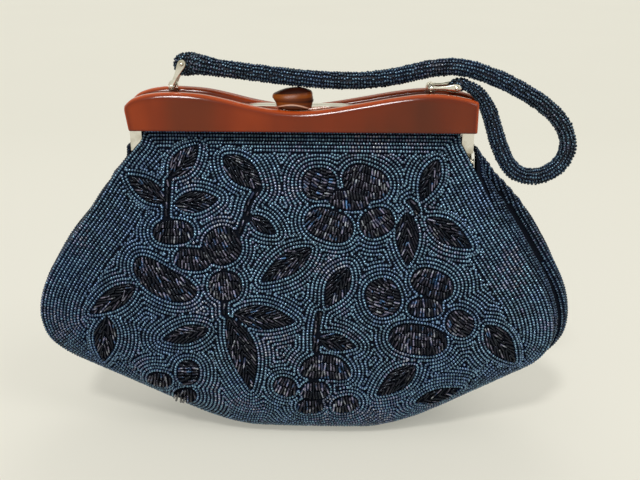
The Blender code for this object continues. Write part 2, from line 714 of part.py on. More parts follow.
def make_clasp(bag):
    """The catch on the front half, and the lever, pin, spring and knob on the rear half."""
    catch_inner = HALF_GAP + SEAT_GAP
    catch_top = BODY_HEIGHT + CHANNEL_HEIGHT
    half = CLASP_WIDTH / 2
    catch = box(
        "clasp_catch", (CLASP_X - half, -catch_inner - CATCH_DEPTH, catch_top - CATCH_HEIGHT),
        (CLASP_X + half, -catch_inner, catch_top),
    )
    bag.add(catch, "front_frame", "silver_metal")
    stem_half = STEM_THICKNESS / 2
    lever_half = LEVER_DEPTH / 2
    lever_top = LEVER_BOTTOM + LEVER_THICKNESS
    lever = box(
        "clasp_lever", (CLASP_X - LEVER_LENGTH / 2, -lever_half, LEVER_BOTTOM),
        (CLASP_X + LEVER_LENGTH / 2, lever_half, lever_top),
    )
    stem = box(
        "clasp_stem", (CLASP_X - half, CLASP_PIVOT_Y - stem_half, BODY_HEIGHT + STEM_FOOT_RISE),
        (CLASP_X + half, CLASP_PIVOT_Y + stem_half, LEVER_BOTTOM + LEVER_THICKNESS / 2),
    )
    bag.cut(lever, stem, "UNION")
    height = BODY_HEIGHT + CLASP_PIVOT_RISE
    reach = half + CUT_OVERRUN
    eye = rod(
        "clasp_eye", (CLASP_X - reach, CLASP_PIVOT_Y, height), (CLASP_X + reach, CLASP_PIVOT_Y, height),
        CLASP_PIN_RADIUS + CLASP_PIN_CLEARANCE,
    )
    bag.cut(lever, eye)
    rivet_low = LEVER_BOTTOM + SEAT_GAP
    hole_radius = KNOB_RIVET_RADIUS + RIVET_CLEARANCE
    knob_middle = (CLASP_X, 0)
    hole_start = (*knob_middle, LEVER_BOTTOM - SEAT_GAP / 2)
    hole = rod("lever_hole", hole_start, (*knob_middle, KNOB_BOTTOM), hole_radius)
    bag.cut(lever, hole)
    bag.add(lever, "clasp", "silver_metal")
    pin_reach = CLASP_PIN_LENGTH / 2
    pin = rod(
        "clasp_pin", (CLASP_X - pin_reach, CLASP_PIVOT_Y, height),
        (CLASP_X + pin_reach, CLASP_PIVOT_Y, height), CLASP_PIN_RADIUS,
    )
    bag.add(pin, "rear_frame", "silver_metal")
    spring_front = CLASP_PIVOT_Y + stem_half + SPRING_GAP
    spring_low = BODY_HEIGHT + NOTCH_FLOOR_RISE + SEAT_GAP
    spring = box(
        "clasp_spring", (CLASP_X - SPRING_WIDTH / 2, spring_front, spring_low),
        (CLASP_X + SPRING_WIDTH / 2, spring_front + SPRING_THICKNESS, spring_low + SPRING_HEIGHT),
    )
    bag.add(spring, "rear_frame", "silver_metal")
    profile = [(r * KNOB_LENGTH / 2, z * KNOB_HEIGHT) for r, z in KNOB_PROFILE_SHARES]
    knob = turned("clasp_knob", profile)
    knob.data.transform(Matrix.Diagonal((1, KNOB_DEPTH / KNOB_LENGTH, 1, 1)))
    knob.data.transform(Matrix.Translation((*knob_middle, KNOB_BOTTOM)))
    bite_top = KNOB_BOTTOM + KNOB_RIVET_BITE
    bore = rod("knob_bore", (*knob_middle, KNOB_BOTTOM - CUT_OVERRUN), (*knob_middle, bite_top), hole_radius)
    bag.cut(knob, bore)
    bag.add(knob, "clasp", "knob")
    rivet_top = (*knob_middle, bite_top - SEAT_GAP)
    knob_rivet = rod("knob_rivet", (*knob_middle, rivet_low), rivet_top, KNOB_RIVET_RADIUS)
    bag.add(knob_rivet, "clasp", "silver_metal")


POST_Y = HALF_GAP + CHANNEL_DEPTH / 2
LEG_SPREAD = POST_THICKNESS / 2 + BAIL_SIDE_GAP + BAIL_BALL_RADIUS


def post_outline():
    half = POST_WIDTH / 2
    foot = CHANNEL_HEIGHT + SEAT_GAP - BAIL_PIVOT_RISE
    points = [(half, foot)]
    for degrees in range(0, 181, 20):
        angle = math.radians(degrees)
        points.append((half * math.cos(angle), half * math.sin(angle)))
    return [*points, (-half, foot)]


def bail_points():
    """The bail's wire in Y and its own length, from the front ball round to the rear one."""
    corner = BAIL_CORNER_RADIUS
    points = [(-LEG_SPREAD, 0), (-LEG_SPREAD, BAIL_LENGTH - corner)]
    for degrees in (165, 135, 105):
        angle = math.radians(degrees)
        across = -LEG_SPREAD + corner + corner * math.cos(angle)
        points.append((across, BAIL_LENGTH - corner + corner * math.sin(angle)))
    return points + [(-across, along) for across, along in reversed(points)]


def make_bail(bag, label, side, tilt):
    """A wire bail that swings on a pin through a post on the rear half."""
    axis = f"{label}_bail"
    place = Vector((side * POST_X, POST_Y, BODY_HEIGHT + BAIL_PIVOT_RISE))
    post = plate(f"bail_post_{label}", post_outline(), POST_THICKNESS, FACING_FRONT, place)
    pin_hole = BAIL_PIN_RADIUS + BAIL_PIN_CLEARANCE
    reach = Vector((0, LEG_SPREAD + BAIL_BALL_RADIUS + BAIL_PIN_HEAD, 0))
    bag.cut(post, rod(f"post_eye_{label}", place - reach, place + reach, pin_hole))
    bag.add(post, "rear_frame", "silver_metal")
    line = [place + Vector((0, across, along)) for across, along in bail_points()]
    wire = tube(f"bail_{label}", line, BAIL_WIRE_RADIUS)
    for end, sign in (("front", -1), ("rear", 1)):
        centre = place + Vector((0, sign * LEG_SPREAD, 0))
        bag.cut(wire, ball(f"bail_{label}_{end}_ball", centre, BAIL_BALL_RADIUS), "UNION")
    bag.cut(wire, rod(f"bail_{label}_eye", place - reach, place + reach, pin_hole))
    turn = Matrix.Translation(place) @ Matrix.Rotation(tilt, 4, "Y") @ Matrix.Translation(-place)
    wire.data.transform(turn)
    for modifier in wire.modifiers:
        modifier.object.data.transform(turn)
    bag.add(wire, axis, "silver_metal")
    pin = rod(f"bail_pin_{label}", place - reach, place + reach, BAIL_PIN_RADIUS)
    bag.add(pin, axis, "silver_metal")


def crossbar(side, tilt):
    """Where a bail's crossbar lies, from the middle of the bars' lower edge."""
    x = side * POST_X + BAIL_LENGTH * math.sin(tilt)
    return Vector((x, POST_Y, BAIL_PIVOT_RISE + BAIL_LENGTH * math.cos(tilt)))


def rope_line():
    """Evenly spaced points and thicknesses on a smooth curve through the rope's route."""
    route = np.array(ROPE_ROUTE)
    chords = np.concatenate([[0], np.cumsum(np.linalg.norm(np.diff(route[:, :3], axis=0), axis=1))])
    tables = [np.stack([chords, route[:, k]], axis=1) for k in range(4)]
    count = round(chords[-1] / ROPE_STEP)
    places = np.linspace(0, chords[-1], count + 1)
    line = np.array([[read_table(table, p) for table in tables] for p in places])
    return line[:, :3] + [0, 0, BODY_HEIGHT], line[:, 3]


def make_handle(bag):
    """The rope handle, and the loops of its tape round the bails' crossbars."""
    points, thicknesses = rope_line()
    rope = tube("handle_rope", points, ROPE_RADIUS, thicknesses, resolution=ROPE_BEVEL_RESOLUTION)
    bag.add(rope, "rear_frame", "beads")
    for label, side, tilt in (("left", -1, LEFT_BAIL_TILT), ("right", 1, RIGHT_BAIL_TILT)):
        centre = crossbar(side, tilt) + Vector((0, 0, BODY_HEIGHT))
        ring = []
        for index in range(END_LOOP_POINTS):
            angle = 2 * math.pi * index / END_LOOP_POINTS
            ring.append(centre + END_LOOP_RADIUS * Vector((math.cos(angle), 0, math.sin(angle))))
        loop = tube(f"handle_loop_{label}", ring, END_LOOP_TUBE_RADIUS, cyclic=True)
        bag.add(loop, f"{label}_bail", "beads")


def outline_middle():
    """The middle of the bag's width, gussets included."""
    right = max(point[0] for row in gusset_rows(1, GUSSET_BULGE_RIGHT) for point in row)
    left = min(point[0] for row in panel_rows(-1) + gusset_rows(-1, GUSSET_BULGE_LEFT) for point in row)
    return (left + right) / 2


def main():
    clear_scene()
    bag = Handbag()
    hinge = (0, 0, BODY_HEIGHT - HINGE_DROP)
    root = bag.axis("handbag", (0, 0, 0))
    root.location = (-outline_middle(), 0, 0)
    bag.axis("body", (0, 0, 0), "handbag")
    bag.axis("front_frame", hinge, "handbag")
    bag.axis("rear_frame", hinge, "handbag")
    bag.axis("clasp", (CLASP_X, CLASP_PIVOT_Y, BODY_HEIGHT + CLASP_PIVOT_RISE), "rear_frame")
    for label, side in (("left", -1), ("right", 1)):
        bag.axis(f"{label}_bail", (side * POST_X, POST_Y, BODY_HEIGHT + BAIL_PIVOT_RISE), "rear_frame")
    make_panels(bag)
    make_gussets(bag)
    make_lining(bag)
    make_pocket(bag)
    for label, face in (("front", -1), ("rear", 1)):
        axis = f"{label}_frame"
        make_bar(bag, f"{label}_bar", face, axis)
        make_channel(bag, f"{label}_channel", face, axis)
        make_bar_rivets(bag, label, face, axis)
    make_hinge_pivots(bag)
    make_clasp(bag)
    make_bail(bag, "left", -1, LEFT_BAIL_TILT)
    make_bail(bag, "right", 1, RIGHT_BAIL_TILT)
    make_handle(bag)
    bpy.context.view_layer.update()


main()
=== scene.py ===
"""Looks of a beaded evening handbag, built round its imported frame.

Metres, +Z up, the front at -Y, in the frame's own coordinates. Seed beads follow rows that echo the
outlines of bugle bead flowers and leaves. Each sub-assembly is a class that holds its sizes.
"""

from __future__ import annotations

import json
import logging
import math
from collections import defaultdict
from dataclasses import dataclass
from enum import Enum
from typing import Iterable, Sequence

import bmesh
import bpy
import numpy as np
from mathutils import Matrix, Vector
from mathutils.kdtree import KDTree

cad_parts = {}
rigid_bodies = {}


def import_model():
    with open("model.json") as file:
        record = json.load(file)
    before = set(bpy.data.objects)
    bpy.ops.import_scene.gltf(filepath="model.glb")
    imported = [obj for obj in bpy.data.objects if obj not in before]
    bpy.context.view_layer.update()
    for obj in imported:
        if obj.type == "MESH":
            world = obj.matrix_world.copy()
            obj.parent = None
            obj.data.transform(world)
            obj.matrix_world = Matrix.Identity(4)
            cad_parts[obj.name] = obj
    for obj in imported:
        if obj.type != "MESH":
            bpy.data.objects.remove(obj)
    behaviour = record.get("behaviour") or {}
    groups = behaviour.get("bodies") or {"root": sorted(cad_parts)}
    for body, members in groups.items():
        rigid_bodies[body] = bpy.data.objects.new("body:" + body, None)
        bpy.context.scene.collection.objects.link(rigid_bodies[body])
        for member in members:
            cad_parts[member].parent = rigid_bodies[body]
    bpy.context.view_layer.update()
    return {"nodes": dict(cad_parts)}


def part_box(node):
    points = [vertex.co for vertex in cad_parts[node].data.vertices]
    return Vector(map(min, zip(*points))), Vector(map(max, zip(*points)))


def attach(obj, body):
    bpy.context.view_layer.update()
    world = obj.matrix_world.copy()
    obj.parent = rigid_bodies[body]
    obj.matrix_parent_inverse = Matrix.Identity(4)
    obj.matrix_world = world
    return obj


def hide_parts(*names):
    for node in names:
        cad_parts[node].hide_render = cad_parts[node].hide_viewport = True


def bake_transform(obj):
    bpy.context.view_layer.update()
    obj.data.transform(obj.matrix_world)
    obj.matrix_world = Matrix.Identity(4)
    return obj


LOG = logging.getLogger("handbag")
MM = 0.001
RANDOM = np.random.default_rng(11)
SHARP_ANGLE = math.radians(38)

Piece = bpy.types.Object
Material = bpy.types.Material
Socket = bpy.types.NodeSocket

# Side edge: drop below the frame, spread to the shoulder beside the hinge, spread from there to the
# widest, and lean to the right
SIDE_SHARES = (
    (0.0, 0.0, 0.0, 0.0), (0.03, 0.043, 0.0, -0.05), (0.06, 0.405, 0.0, -0.2), (0.11, 1.0, 0.0, -0.42),
    (0.23, 1.0, 0.265, -0.68), (0.37, 1.0, 0.615, -0.95), (0.535, 1.0, 0.947, -0.82), (0.63, 1.0, 1.0, -0.58),
    (0.70, 1.0, 0.935, -0.3), (0.745, 1.0, 0.794, 0.05), (0.80, 1.0, 0.5, 0.5), (0.85, 1.0, 0.192, 0.8),
    (0.90, 1.0, -0.118, 1.0),
)
# Half depth down a panel, at its middle and at its side edge
DEPTH_SHARES = (
    (0.0, 0.098, 0.098), (0.03, 0.24, 0.222), (0.06, 0.31, 0.226), (0.107, 0.39, 0.232),
    (0.24, 0.57, 0.31), (0.42, 0.80, 0.43), (0.60, 0.965, 0.52), (0.75, 1.0, 0.45),
    (0.87, 0.93, 0.28), (0.95, 0.78, 0.14), (1.0, 0.54, 0.08),
)
# Share of a gusset's bulge down its length
GUSSET_BULGE_SHARES = (
    (0.0, 0.0), (0.055, 0.04), (0.10, 0.42), (0.21, 0.95), (0.36, 1.0), (0.52, 0.78), (0.68, 0.62),
    (0.84, 0.5), (1.0, 0.0),
)
# Width of the lining down its length, as a share of the panel's
LINING_WIDTH_SHARES = ((0.0, 0.82), (0.15, 0.82), (0.32, 0.92), (0.7, 0.92), (1.0, 0.84))
# Outline of a bar: place along its half length, and height of its top edge
BAR_TOP_SHARES = (
    (-1.0, 0.64), (-0.965, 0.79), (-0.91, 0.90), (-0.83, 0.975), (-0.75, 1.0), (-0.655, 0.99),
    (-0.54, 0.94), (-0.42, 0.825), (-0.30, 0.69), (-0.18, 0.585), (-0.065, 0.53), (0.05, 0.53),
    (0.17, 0.60), (0.28, 0.685), (0.39, 0.775), (0.55, 0.905), (0.695, 0.985), (0.79, 0.985),
    (0.89, 0.93), (0.965, 0.85), (1.0, 0.79),
)
# Centreline of the rope handle: x and z from the middle of the bars' lower edge, y from the closing
# plane, and the rope's thickness there
ROPE_ROUTE = (
    (-0.0561, 0.0023, 0.0322, 1.10), (-0.0510, 0.0023, 0.0315, 1.18), (-0.0450, 0.0022, 0.0303, 1.04),
    (-0.0337, 0.0018, 0.0289, 1.0), (-0.0205, 0.0014, 0.0273, 1.0), (-0.0057, 0.0010, 0.0257, 1.0),
    (0.0075, 0.0010, 0.0246, 1.0), (0.0222, 0.0012, 0.0240, 1.0), (0.0395, 0.0016, 0.0249, 1.0),
    (0.0500, 0.0019, 0.0266, 1.0), (0.0590, 0.0021, 0.0287, 1.0), (0.0675, 0.0023, 0.0304, 1.0),
    (0.0765, 0.0024, 0.0311, 1.0), (0.0855, 0.0026, 0.0299, 1.0), (0.0950, 0.0028, 0.0268, 1.0),
    (0.1057, 0.0030, 0.0224, 1.0), (0.1156, 0.0031, 0.0172, 1.0), (0.1243, 0.0031, 0.0116, 1.0),
    (0.1312, 0.0030, 0.0055, 1.0), (0.1360, 0.0028, -0.0015, 1.0), (0.1380, 0.0025, -0.0090, 1.0),
    (0.1364, 0.0022, -0.0160, 1.0), (0.1318, 0.0018, -0.0216, 1.0), (0.1250, 0.0014, -0.0249, 1.0),
    (0.1178, 0.0010, -0.0253, 1.0), (0.1114, 0.0008, -0.0228, 1.0), (0.1068, 0.0007, -0.0178, 1.0),
    (0.1035, 0.0006, -0.0115, 1.0), (0.1004, 0.0006, -0.0040, 1.0), (0.0977, 0.0008, 0.0042, 0.98),
    (0.0945, 0.0010, 0.0118, 0.90), (0.0904, 0.0015, 0.0176, 0.78), (0.0862, 0.0020, 0.0208, 0.68),
    (0.0829, 0.0023, 0.0220, 0.62),
)


class Face(Enum):
    """The two sides of the bag, with the sign of their Y."""

    FRONT = -1
    REAR = 1


class Side(Enum):
    """The two ends of the bag, with the sign of their X."""

    LEFT = -1
    RIGHT = 1


class MotifKind(Enum):
    """Shapes that are filled with bugle beads."""

    LEAF = "leaf"
    PETAL = "petal"
    STEM = "stem"


FRAME_BODY = {Face.FRONT: "front_frame", Face.REAR: "rear_frame"}
PANEL_NODE = {Face.FRONT: "front_panel", Face.REAR: "back_panel"}


def read_table(table: Sequence[Sequence[float]], at: np.ndarray, column: int = 1) -> np.ndarray:
    """Reads values from a table of stations, on a smooth cubic through them.

    Args:
        table: Rows of a place and its values.
        at: Places to read.
        column: The table's column to read.

    Returns:
        One value for each place.
    """
    rows = np.array(table)
    places, values = rows[:, 0], rows[:, column]
    slopes = np.gradient(values, places)
    low = np.clip(np.searchsorted(places, at) - 1, 0, len(places) - 2)
    span = places[low + 1] - places[low]
    t = np.clip((at - places[low]) / span, 0, 1)
    start = (1 + 2 * t) * (1 - t) ** 2 * values[low] + t * (1 - t) ** 2 * span * slopes[low]
    end = t * t * (3 - 2 * t) * values[low + 1] + t * t * (t - 1) * span * slopes[low + 1]
    return start + end


def unit(vectors: np.ndarray) -> np.ndarray:
    """Returns the vectors with length one."""
    lengths = np.linalg.norm(vectors, axis=-1, keepdims=True)
    return vectors / np.maximum(lengths, 1e-12)


def linear(red: int, green: int, blue: int) -> tuple[float, float, float, float]:
    """Turns a display colour into the shader's.

    Args:
        red: Red from 0 to 255.
        green: Green from 0 to 255.
        blue: Blue from 0 to 255.

    Returns:
        The linear colour with an alpha of one.
    """
    values = []
    for value in (red / 255, green / 255, blue / 255):
        values.append(value / 12.92 if value <= 0.04045 else ((value + 0.055) / 1.055) ** 2.4)
    return (*values, 1.0)


# Geometry helpers


def mesh_piece(name: str, points: np.ndarray, faces: Iterable[Sequence[int]], finish: Material) -> Piece:
    """Makes a smooth-shaded object from points and faces.

    Args:
        name: The piece's name.
        points: Its corners in the frame's coordinates.
        faces: Corner numbers of each face.
        finish: The piece's material.

    Returns:
        The new object, linked to the scene.
    """
    mesh = bpy.data.meshes.new(name)
    mesh.from_pydata([tuple(p) for p in np.asarray(points).reshape(-1, 3)], [], [tuple(f) for f in faces])
    mesh.validate()
    return add_piece(name, mesh, finish)


def add_piece(name: str, mesh: bpy.types.Mesh, finish: Material) -> Piece:
    """Adds a mesh to the scene as a piece with its finish, smooth but for its sharp edges."""
    mesh.polygons.foreach_set("use_smooth", [True] * len(mesh.polygons))
    mesh.set_sharp_from_angle(angle=SHARP_ANGLE)
    mesh.materials.clear()
    mesh.materials.append(finish)
    obj = bpy.data.objects.new(name, mesh)
    bpy.context.scene.collection.objects.link(obj)
    return obj


def closed_sheet(name: str, outer: np.ndarray, inner: np.ndarray, finish: Material) -> Piece:
    """Makes a closed sheet between two grids of points.

    Args:
        name: The piece's name.
        outer: Grid of points on its outer side, rows by columns by three.
        inner: The same grid on its inner side.
        finish: The piece's material.

    Returns:
        The new object, with its faces pointing out.
    """
    rows, columns = outer.shape[:2]
    count = rows * columns
    index = np.arange(count).reshape(rows, columns)
    faces = []
    for i in range(rows - 1):
        for j in range(columns - 1):
            corners = (index[i, j], index[i + 1, j], index[i + 1, j + 1], index[i, j + 1])
            faces.append(corners)
            faces.append(tuple(c + count for c in reversed(corners)))
    rim = [*index[0, :], *index[1:, -1], *index[-1, -2::-1], *index[-2:0:-1, 0]]
    for a, b in zip(rim, rim[1:] + rim[:1]):
        faces.append((a, b, b + count, a + count))
    obj = mesh_piece(name, np.concatenate([outer.reshape(-1, 3), inner.reshape(-1, 3)]), faces, finish)
    point_outwards(obj)
    return obj


def point_outwards(obj: Piece) -> None:
    """Turns every face of a closed mesh outwards."""
    editor = bmesh.new()
    editor.from_mesh(obj.data)
    bmesh.ops.recalc_face_normals(editor, faces=editor.faces)
    editor.to_mesh(obj.data)
    editor.free()


def store(mesh: bpy.types.Mesh, name: str, values: np.ndarray, kind: str = "FLOAT") -> None:
    """Stores a number or, of the kind FLOAT_VECTOR, a vector on each point of a mesh."""
    stored = mesh.attributes.new(name, kind, "POINT")
    stored.data.foreach_set("value" if kind == "FLOAT" else "vector", np.asarray(values, np.float32).ravel())


def search_tree(points: np.ndarray) -> KDTree:
    """Makes a search tree of points that are numbered in their order."""
    tree = KDTree(len(points))
    for index, point in enumerate(points):
        tree.insert(point, index)
    tree.balance()
    return tree


def running_lengths(points: np.ndarray) -> np.ndarray:
    """The length along a line at each of its points."""
    return np.concatenate([[0], np.cumsum(np.linalg.norm(np.diff(points, axis=0), axis=1))])


def read_along(at: np.ndarray, lengths: np.ndarray, values: np.ndarray) -> np.ndarray:
    """Reads the values of a line's points at lengths along it, one column after another."""
    return np.stack([np.interp(at, lengths, column) for column in values.T], axis=1)


def thinned(points: np.ndarray, reach: float, apart: np.ndarray | None = None) -> np.ndarray:
    """Drops each point that lies within reach of an earlier kept one.

    Args:
        points: The points, the most wanted first.
        reach: The distance below which two points clash.
        apart: Numbers of their rows, where points of one row never clash.

    Returns:
        Which points are kept.
    """
    tree = search_tree(points)
    kept = np.ones(len(points), bool)
    for index, point in enumerate(points):
        for _, other, _ in tree.find_range(point, reach):
            if other < index and kept[other] and (apart is None or apart[other] != apart[index]):
                kept[index] = False
                break
    return kept


def closed_tube(name: str, rings: np.ndarray, finish: Material) -> Piece:
    """Makes a tube through rings of points, with flat ends.

    Args:
        name: The piece's name.
        rings: Rings by points by three.
        finish: The piece's material.

    Returns:
        The new object.
    """
    count, sides = rings.shape[:2]
    index = np.arange(count * sides).reshape(count, sides)
    faces = []
    for i in range(count - 1):
        for j in range(sides):
            following = (j + 1) % sides
            faces.append((index[i, j], index[i + 1, j], index[i + 1, following], index[i, following]))
    faces += [tuple(index[0, ::-1]), tuple(index[-1])]
    obj = mesh_piece(name, rings, faces, finish)
    point_outwards(obj)
    return obj


def ring_round(
    centre: np.ndarray, first: np.ndarray, second: np.ndarray, radius: float, sides: int
) -> np.ndarray:
    """Points on an ellipse round centre, whose half axes are two vectors times radius."""
    angles = np.linspace(0, 2 * math.pi, sides, endpoint=False)[:, None]
    return centre + radius * (np.cos(angles) * first + np.sin(angles) * second)


def joined(name: str, objects: Sequence[Piece]) -> Piece:
    """Joins objects into one piece that keeps each one's material.

    Args:
        name: The new piece's name.
        objects: The objects to join, which are removed.

    Returns:
        The joined piece.
    """
    context = {"active_object": objects[0], "selected_editable_objects": list(objects)}
    with bpy.context.temp_override(**context):
        bpy.ops.object.join()
    objects[0].name = name
    objects[0].data.name = name
    return objects[0]


# Node helpers


def fill_inputs(tree: bpy.types.NodeTree, node: bpy.types.Node, inputs: dict) -> None:
    """Sets a node's inputs to values, or links them to sockets.

    Args:
        tree: The node's tree.
        node: The node.
        inputs: Values or sockets by the inputs' names or numbers.
    """
    for name, value in inputs.items():
        if isinstance(value, Socket):
            tree.links.new(value, node.inputs[name])
        else:
            node.inputs[name].default_value = value


def add_node(
    tree: bpy.types.NodeTree, kind: str, inputs: dict | None = None, **options: object
) -> bpy.types.Node:
    """Adds a node to a tree.

    Args:
        tree: The tree.
        kind: The node type's name.
        inputs: Values or sockets by the inputs' names or numbers.
        **options: Its own settings.

    Returns:
        The node.
    """
    node = tree.nodes.new(kind)
    for name, value in options.items():
        setattr(node, name, value)
    fill_inputs(tree, node, inputs or {})
    return node


class Shader:
    """A material's node tree with short calls to add and link nodes."""

    def __init__(self, name: str) -> None:
        """Makes a material with one Principled BSDF."""
        self.material = bpy.data.materials.new(name)
        self.material.use_nodes = True
        self.tree = self.material.node_tree
        self.surface = self.tree.nodes["Principled BSDF"]

    def set(self, **values: object) -> None:
        """Sets or links the surface's inputs, whose names' spaces are written as underscores."""
        inputs = {name.replace("_", " "): value for name, value in values.items()}
        fill_inputs(self.tree, self.surface, inputs)

    def node(self, kind: str, inputs: dict | None = None, **options: object) -> bpy.types.Node:
        """Adds a node to the material, as add_node does."""
        return add_node(self.tree, kind, inputs, **options)

    def object_place(self) -> Socket:
        """The surface's own coordinates."""
        return self.node("ShaderNodeTexCoord").outputs["Object"]

    def object_axis(self, axis: str) -> Socket:
        """One of the surface's own coordinates: X, Y or Z."""
        return self.node("ShaderNodeSeparateXYZ", {"Vector": self.object_place()}).outputs[axis]

    def attribute(self, name: str) -> Socket:
        """A number stored on the mesh."""
        return self.node("ShaderNodeAttribute", attribute_name=name).outputs["Fac"]

    def noise(self, scale: float, detail: float = 2.0, stretch: Sequence[float] = (1, 1, 1)) -> Socket:
        """A noise pattern on the surface's own coordinates, with its scale in waves a metre."""
        place = self.node("ShaderNodeMapping", {"Vector": self.object_place(), "Scale": stretch}).outputs[0]
        inputs = {"Vector": place, "Scale": scale, "Detail": detail}
        return self.node("ShaderNodeTexNoise", inputs).outputs["Fac"]

    def ramp(self, value: Socket, stops: Sequence[tuple[float, tuple]]) -> Socket:
        """Colours a value.

        Args:
            value: The value.
            stops: Places of the value with their colours, in rising order.

        Returns:
            The colour.
        """
        node = self.node("ShaderNodeValToRGB", {"Fac": value})
        elements = node.color_ramp.elements
        while len(elements) < len(stops):
            elements.new(1.0)
        for element, (place, colour) in zip(elements, stops):
            element.position = place
            element.color = colour
        return node.outputs["Color"]

    def range(self, value: Socket, low: float, high: float, start: float = 0.0, end: float = 1.0) -> Socket:
        """Maps start to low and end to high."""
        inputs = {"Value": value, "From Min": start, "From Max": end, "To Min": low, "To Max": high}
        return self.node("ShaderNodeMapRange", inputs).outputs["Result"]

    def mix(self, share: Socket | float, first: Socket | tuple, second: Socket | tuple) -> Socket:
        """Mixes two colours by the second one's share."""
        return self.node("ShaderNodeMix", {0: share, 6: first, 7: second}, data_type="RGBA").outputs[2]

    def combine(self, first: Socket, second: Socket | float, operation: str = "ADD") -> Socket:
        """Adds two numbers, or combines them by another operation."""
        return self.node("ShaderNodeMath", {0: first, 1: second}, operation=operation).outputs[0]

    def bump(self, height: Socket, depth: float, strength: float = 1.0) -> None:
        """Gives the surface a bump of a depth in metres."""
        node = self.node("ShaderNodeBump", {"Height": height, "Distance": depth, "Strength": strength})
        self.set(Normal=node.outputs["Normal"])


@dataclass(frozen=True)
class Finish:
    """A finish of the bag's pieces, with its colours and sizes as fields."""

    name: str

    def make(self) -> Material:
        """Builds the material."""
        built = Shader(self.name)
        self.paint(built)
        return built.material

    def paint(self, shader: Shader) -> None:
        """Lays the finish's nodes, each finish in its own way."""
        raise NotImplementedError


@dataclass(frozen=True)
class SeedGlass(Finish):
    """Navy glass of the seed beads, with a pale painted highlight on each bead's top that varies from bead to
    bead, dimmed towards the left side as painted shade.
    """

    name: str = "seed_bead_glass"
    deepest: tuple = linear(7, 12, 28)
    navy: tuple = linear(14, 30, 60)
    blue: tuple = linear(22, 46, 82)
    # Colours of the painted highlight on each bead's top ridge
    teal_crown_highlight: tuple = linear(164, 208, 228)
    blue_crown_highlight: tuple = linear(158, 192, 232)
    lilac_crown_highlight: tuple = linear(184, 188, 222)
    pale_crown: tuple = linear(228, 234, 242)
    reflection: tuple = (0.66, 0.84, 1.0, 1.0)
    cloud_scale: float = 26.0
    hue_turns: float = 13.7
    hue_spread: float = 0.12
    crown_power: float = 1.7
    dimmest: float = 0.05
    brightest: float = 1.0
    # Painted shade: the painted highlights dim to this share towards the bag's left side
    left_painted_shade_factor: float = 0.66
    painted_shade_start: float = -0.13
    painted_shade_end: float = -0.04

    def paint(self, shader: Shader) -> None:
        """Lays the finish's nodes."""
        shade = shader.attribute("shade")
        clouds = shader.noise(self.cloud_scale, 3.0)
        level = shader.combine(shader.range(clouds, -0.3, 0.3, 0.3, 0.7), shade)
        body = shader.ramp(level, ((0.0, self.deepest), (0.5, self.navy), (1.0, self.blue)))
        own_hue = shader.combine(shader.combine(shade, self.hue_turns, "MULTIPLY"), 0.0, "FRACT")
        hue = shader.range(own_hue, -self.hue_spread, self.hue_spread)
        tint = shader.combine(shader.noise(self.cloud_scale * 1.3, 2.0), hue)
        stops = (
            (0.34, self.blue_crown_highlight), (0.44, self.teal_crown_highlight), (0.57, self.teal_crown_highlight),
            (0.66, self.lilac_crown_highlight), (0.74, self.pale_crown),
        )
        painted_highlight_colour = shader.ramp(tint, stops)
        # Painted highlight: the ridge mask, sharpened and scaled by each bead's shade, mixes a pale colour
        # over the navy body
        crown = shader.combine(shader.attribute("crown"), self.crown_power, "POWER")
        painted_highlight_share = shader.combine(crown, shader.range(shade, self.dimmest, self.brightest), "MULTIPLY")
        # Painted shade on the left side, by dimming the painted highlights
        across = shader.object_axis("X")
        painted_left_shade = shader.range(across, self.left_painted_shade_factor, 1.0, self.painted_shade_start, self.painted_shade_end)
        shader.set(Base_Color=shader.mix(shader.combine(painted_highlight_share, painted_left_shade, "MULTIPLY"), body, painted_highlight_colour))
        shader.set(Metallic=0.2, Roughness=0.2, Specular_IOR_Level=0.3, Specular_Tint=self.reflection)


@dataclass(frozen=True)
class BugleGlass(Finish):
    """Nearly black glass of the bugle beads, with a painted highlight, a white, lilac or blue line of light,
    along many of them.
    """

    name: str = "bugle_bead_glass"
    ink: tuple = linear(6, 10, 18)
    brown: tuple = linear(20, 18, 27)
    blue: tuple = linear(14, 32, 62)
    # Colours of the painted highlight along the beads
    white_highlight_streak: tuple = linear(218, 226, 234)
    lilac_highlight_streak: tuple = linear(176, 170, 196)
    blue_highlight_streak: tuple = linear(112, 164, 222)
    reflection: tuple = (0.7, 0.84, 1.0, 1.0)
    crown_power: float = 1.5
    tint_scale: float = 240.0
    streak_scale: float = 520.0

    def paint(self, shader: Shader) -> None:
        """Lays the finish's nodes."""
        shade = shader.attribute("shade")
        body = shader.ramp(shade, ((0.0, self.ink), (0.45, self.brown), (0.8, self.ink), (0.95, self.blue)))
        # Painted highlight: a line of light on each bead's top ridge, broken along its length and stronger on
        # beads of higher shade
        crown = shader.combine(shader.attribute("crown"), self.crown_power, "POWER")
        along = shader.range(shader.noise(self.streak_scale, 1.0), 0.12, 1.0, 0.42, 0.58)
        bright = shader.combine(shader.range(shade, 0.04, 1.0, 0.35, 0.95), along, "MULTIPLY")
        stops = (
            (0.35, self.blue_highlight_streak), (0.43, self.lilac_highlight_streak), (0.54, self.lilac_highlight_streak),
            (0.61, self.white_highlight_streak),
        )
        highlight_streak_colour = shader.ramp(shader.noise(self.tint_scale, 1.0), stops)
        shader.set(Base_Color=shader.mix(shader.combine(crown, bright, "MULTIPLY"), body, highlight_streak_colour))
        shader.set(Roughness=0.14, Specular_IOR_Level=0.16, Specular_Tint=self.reflection)


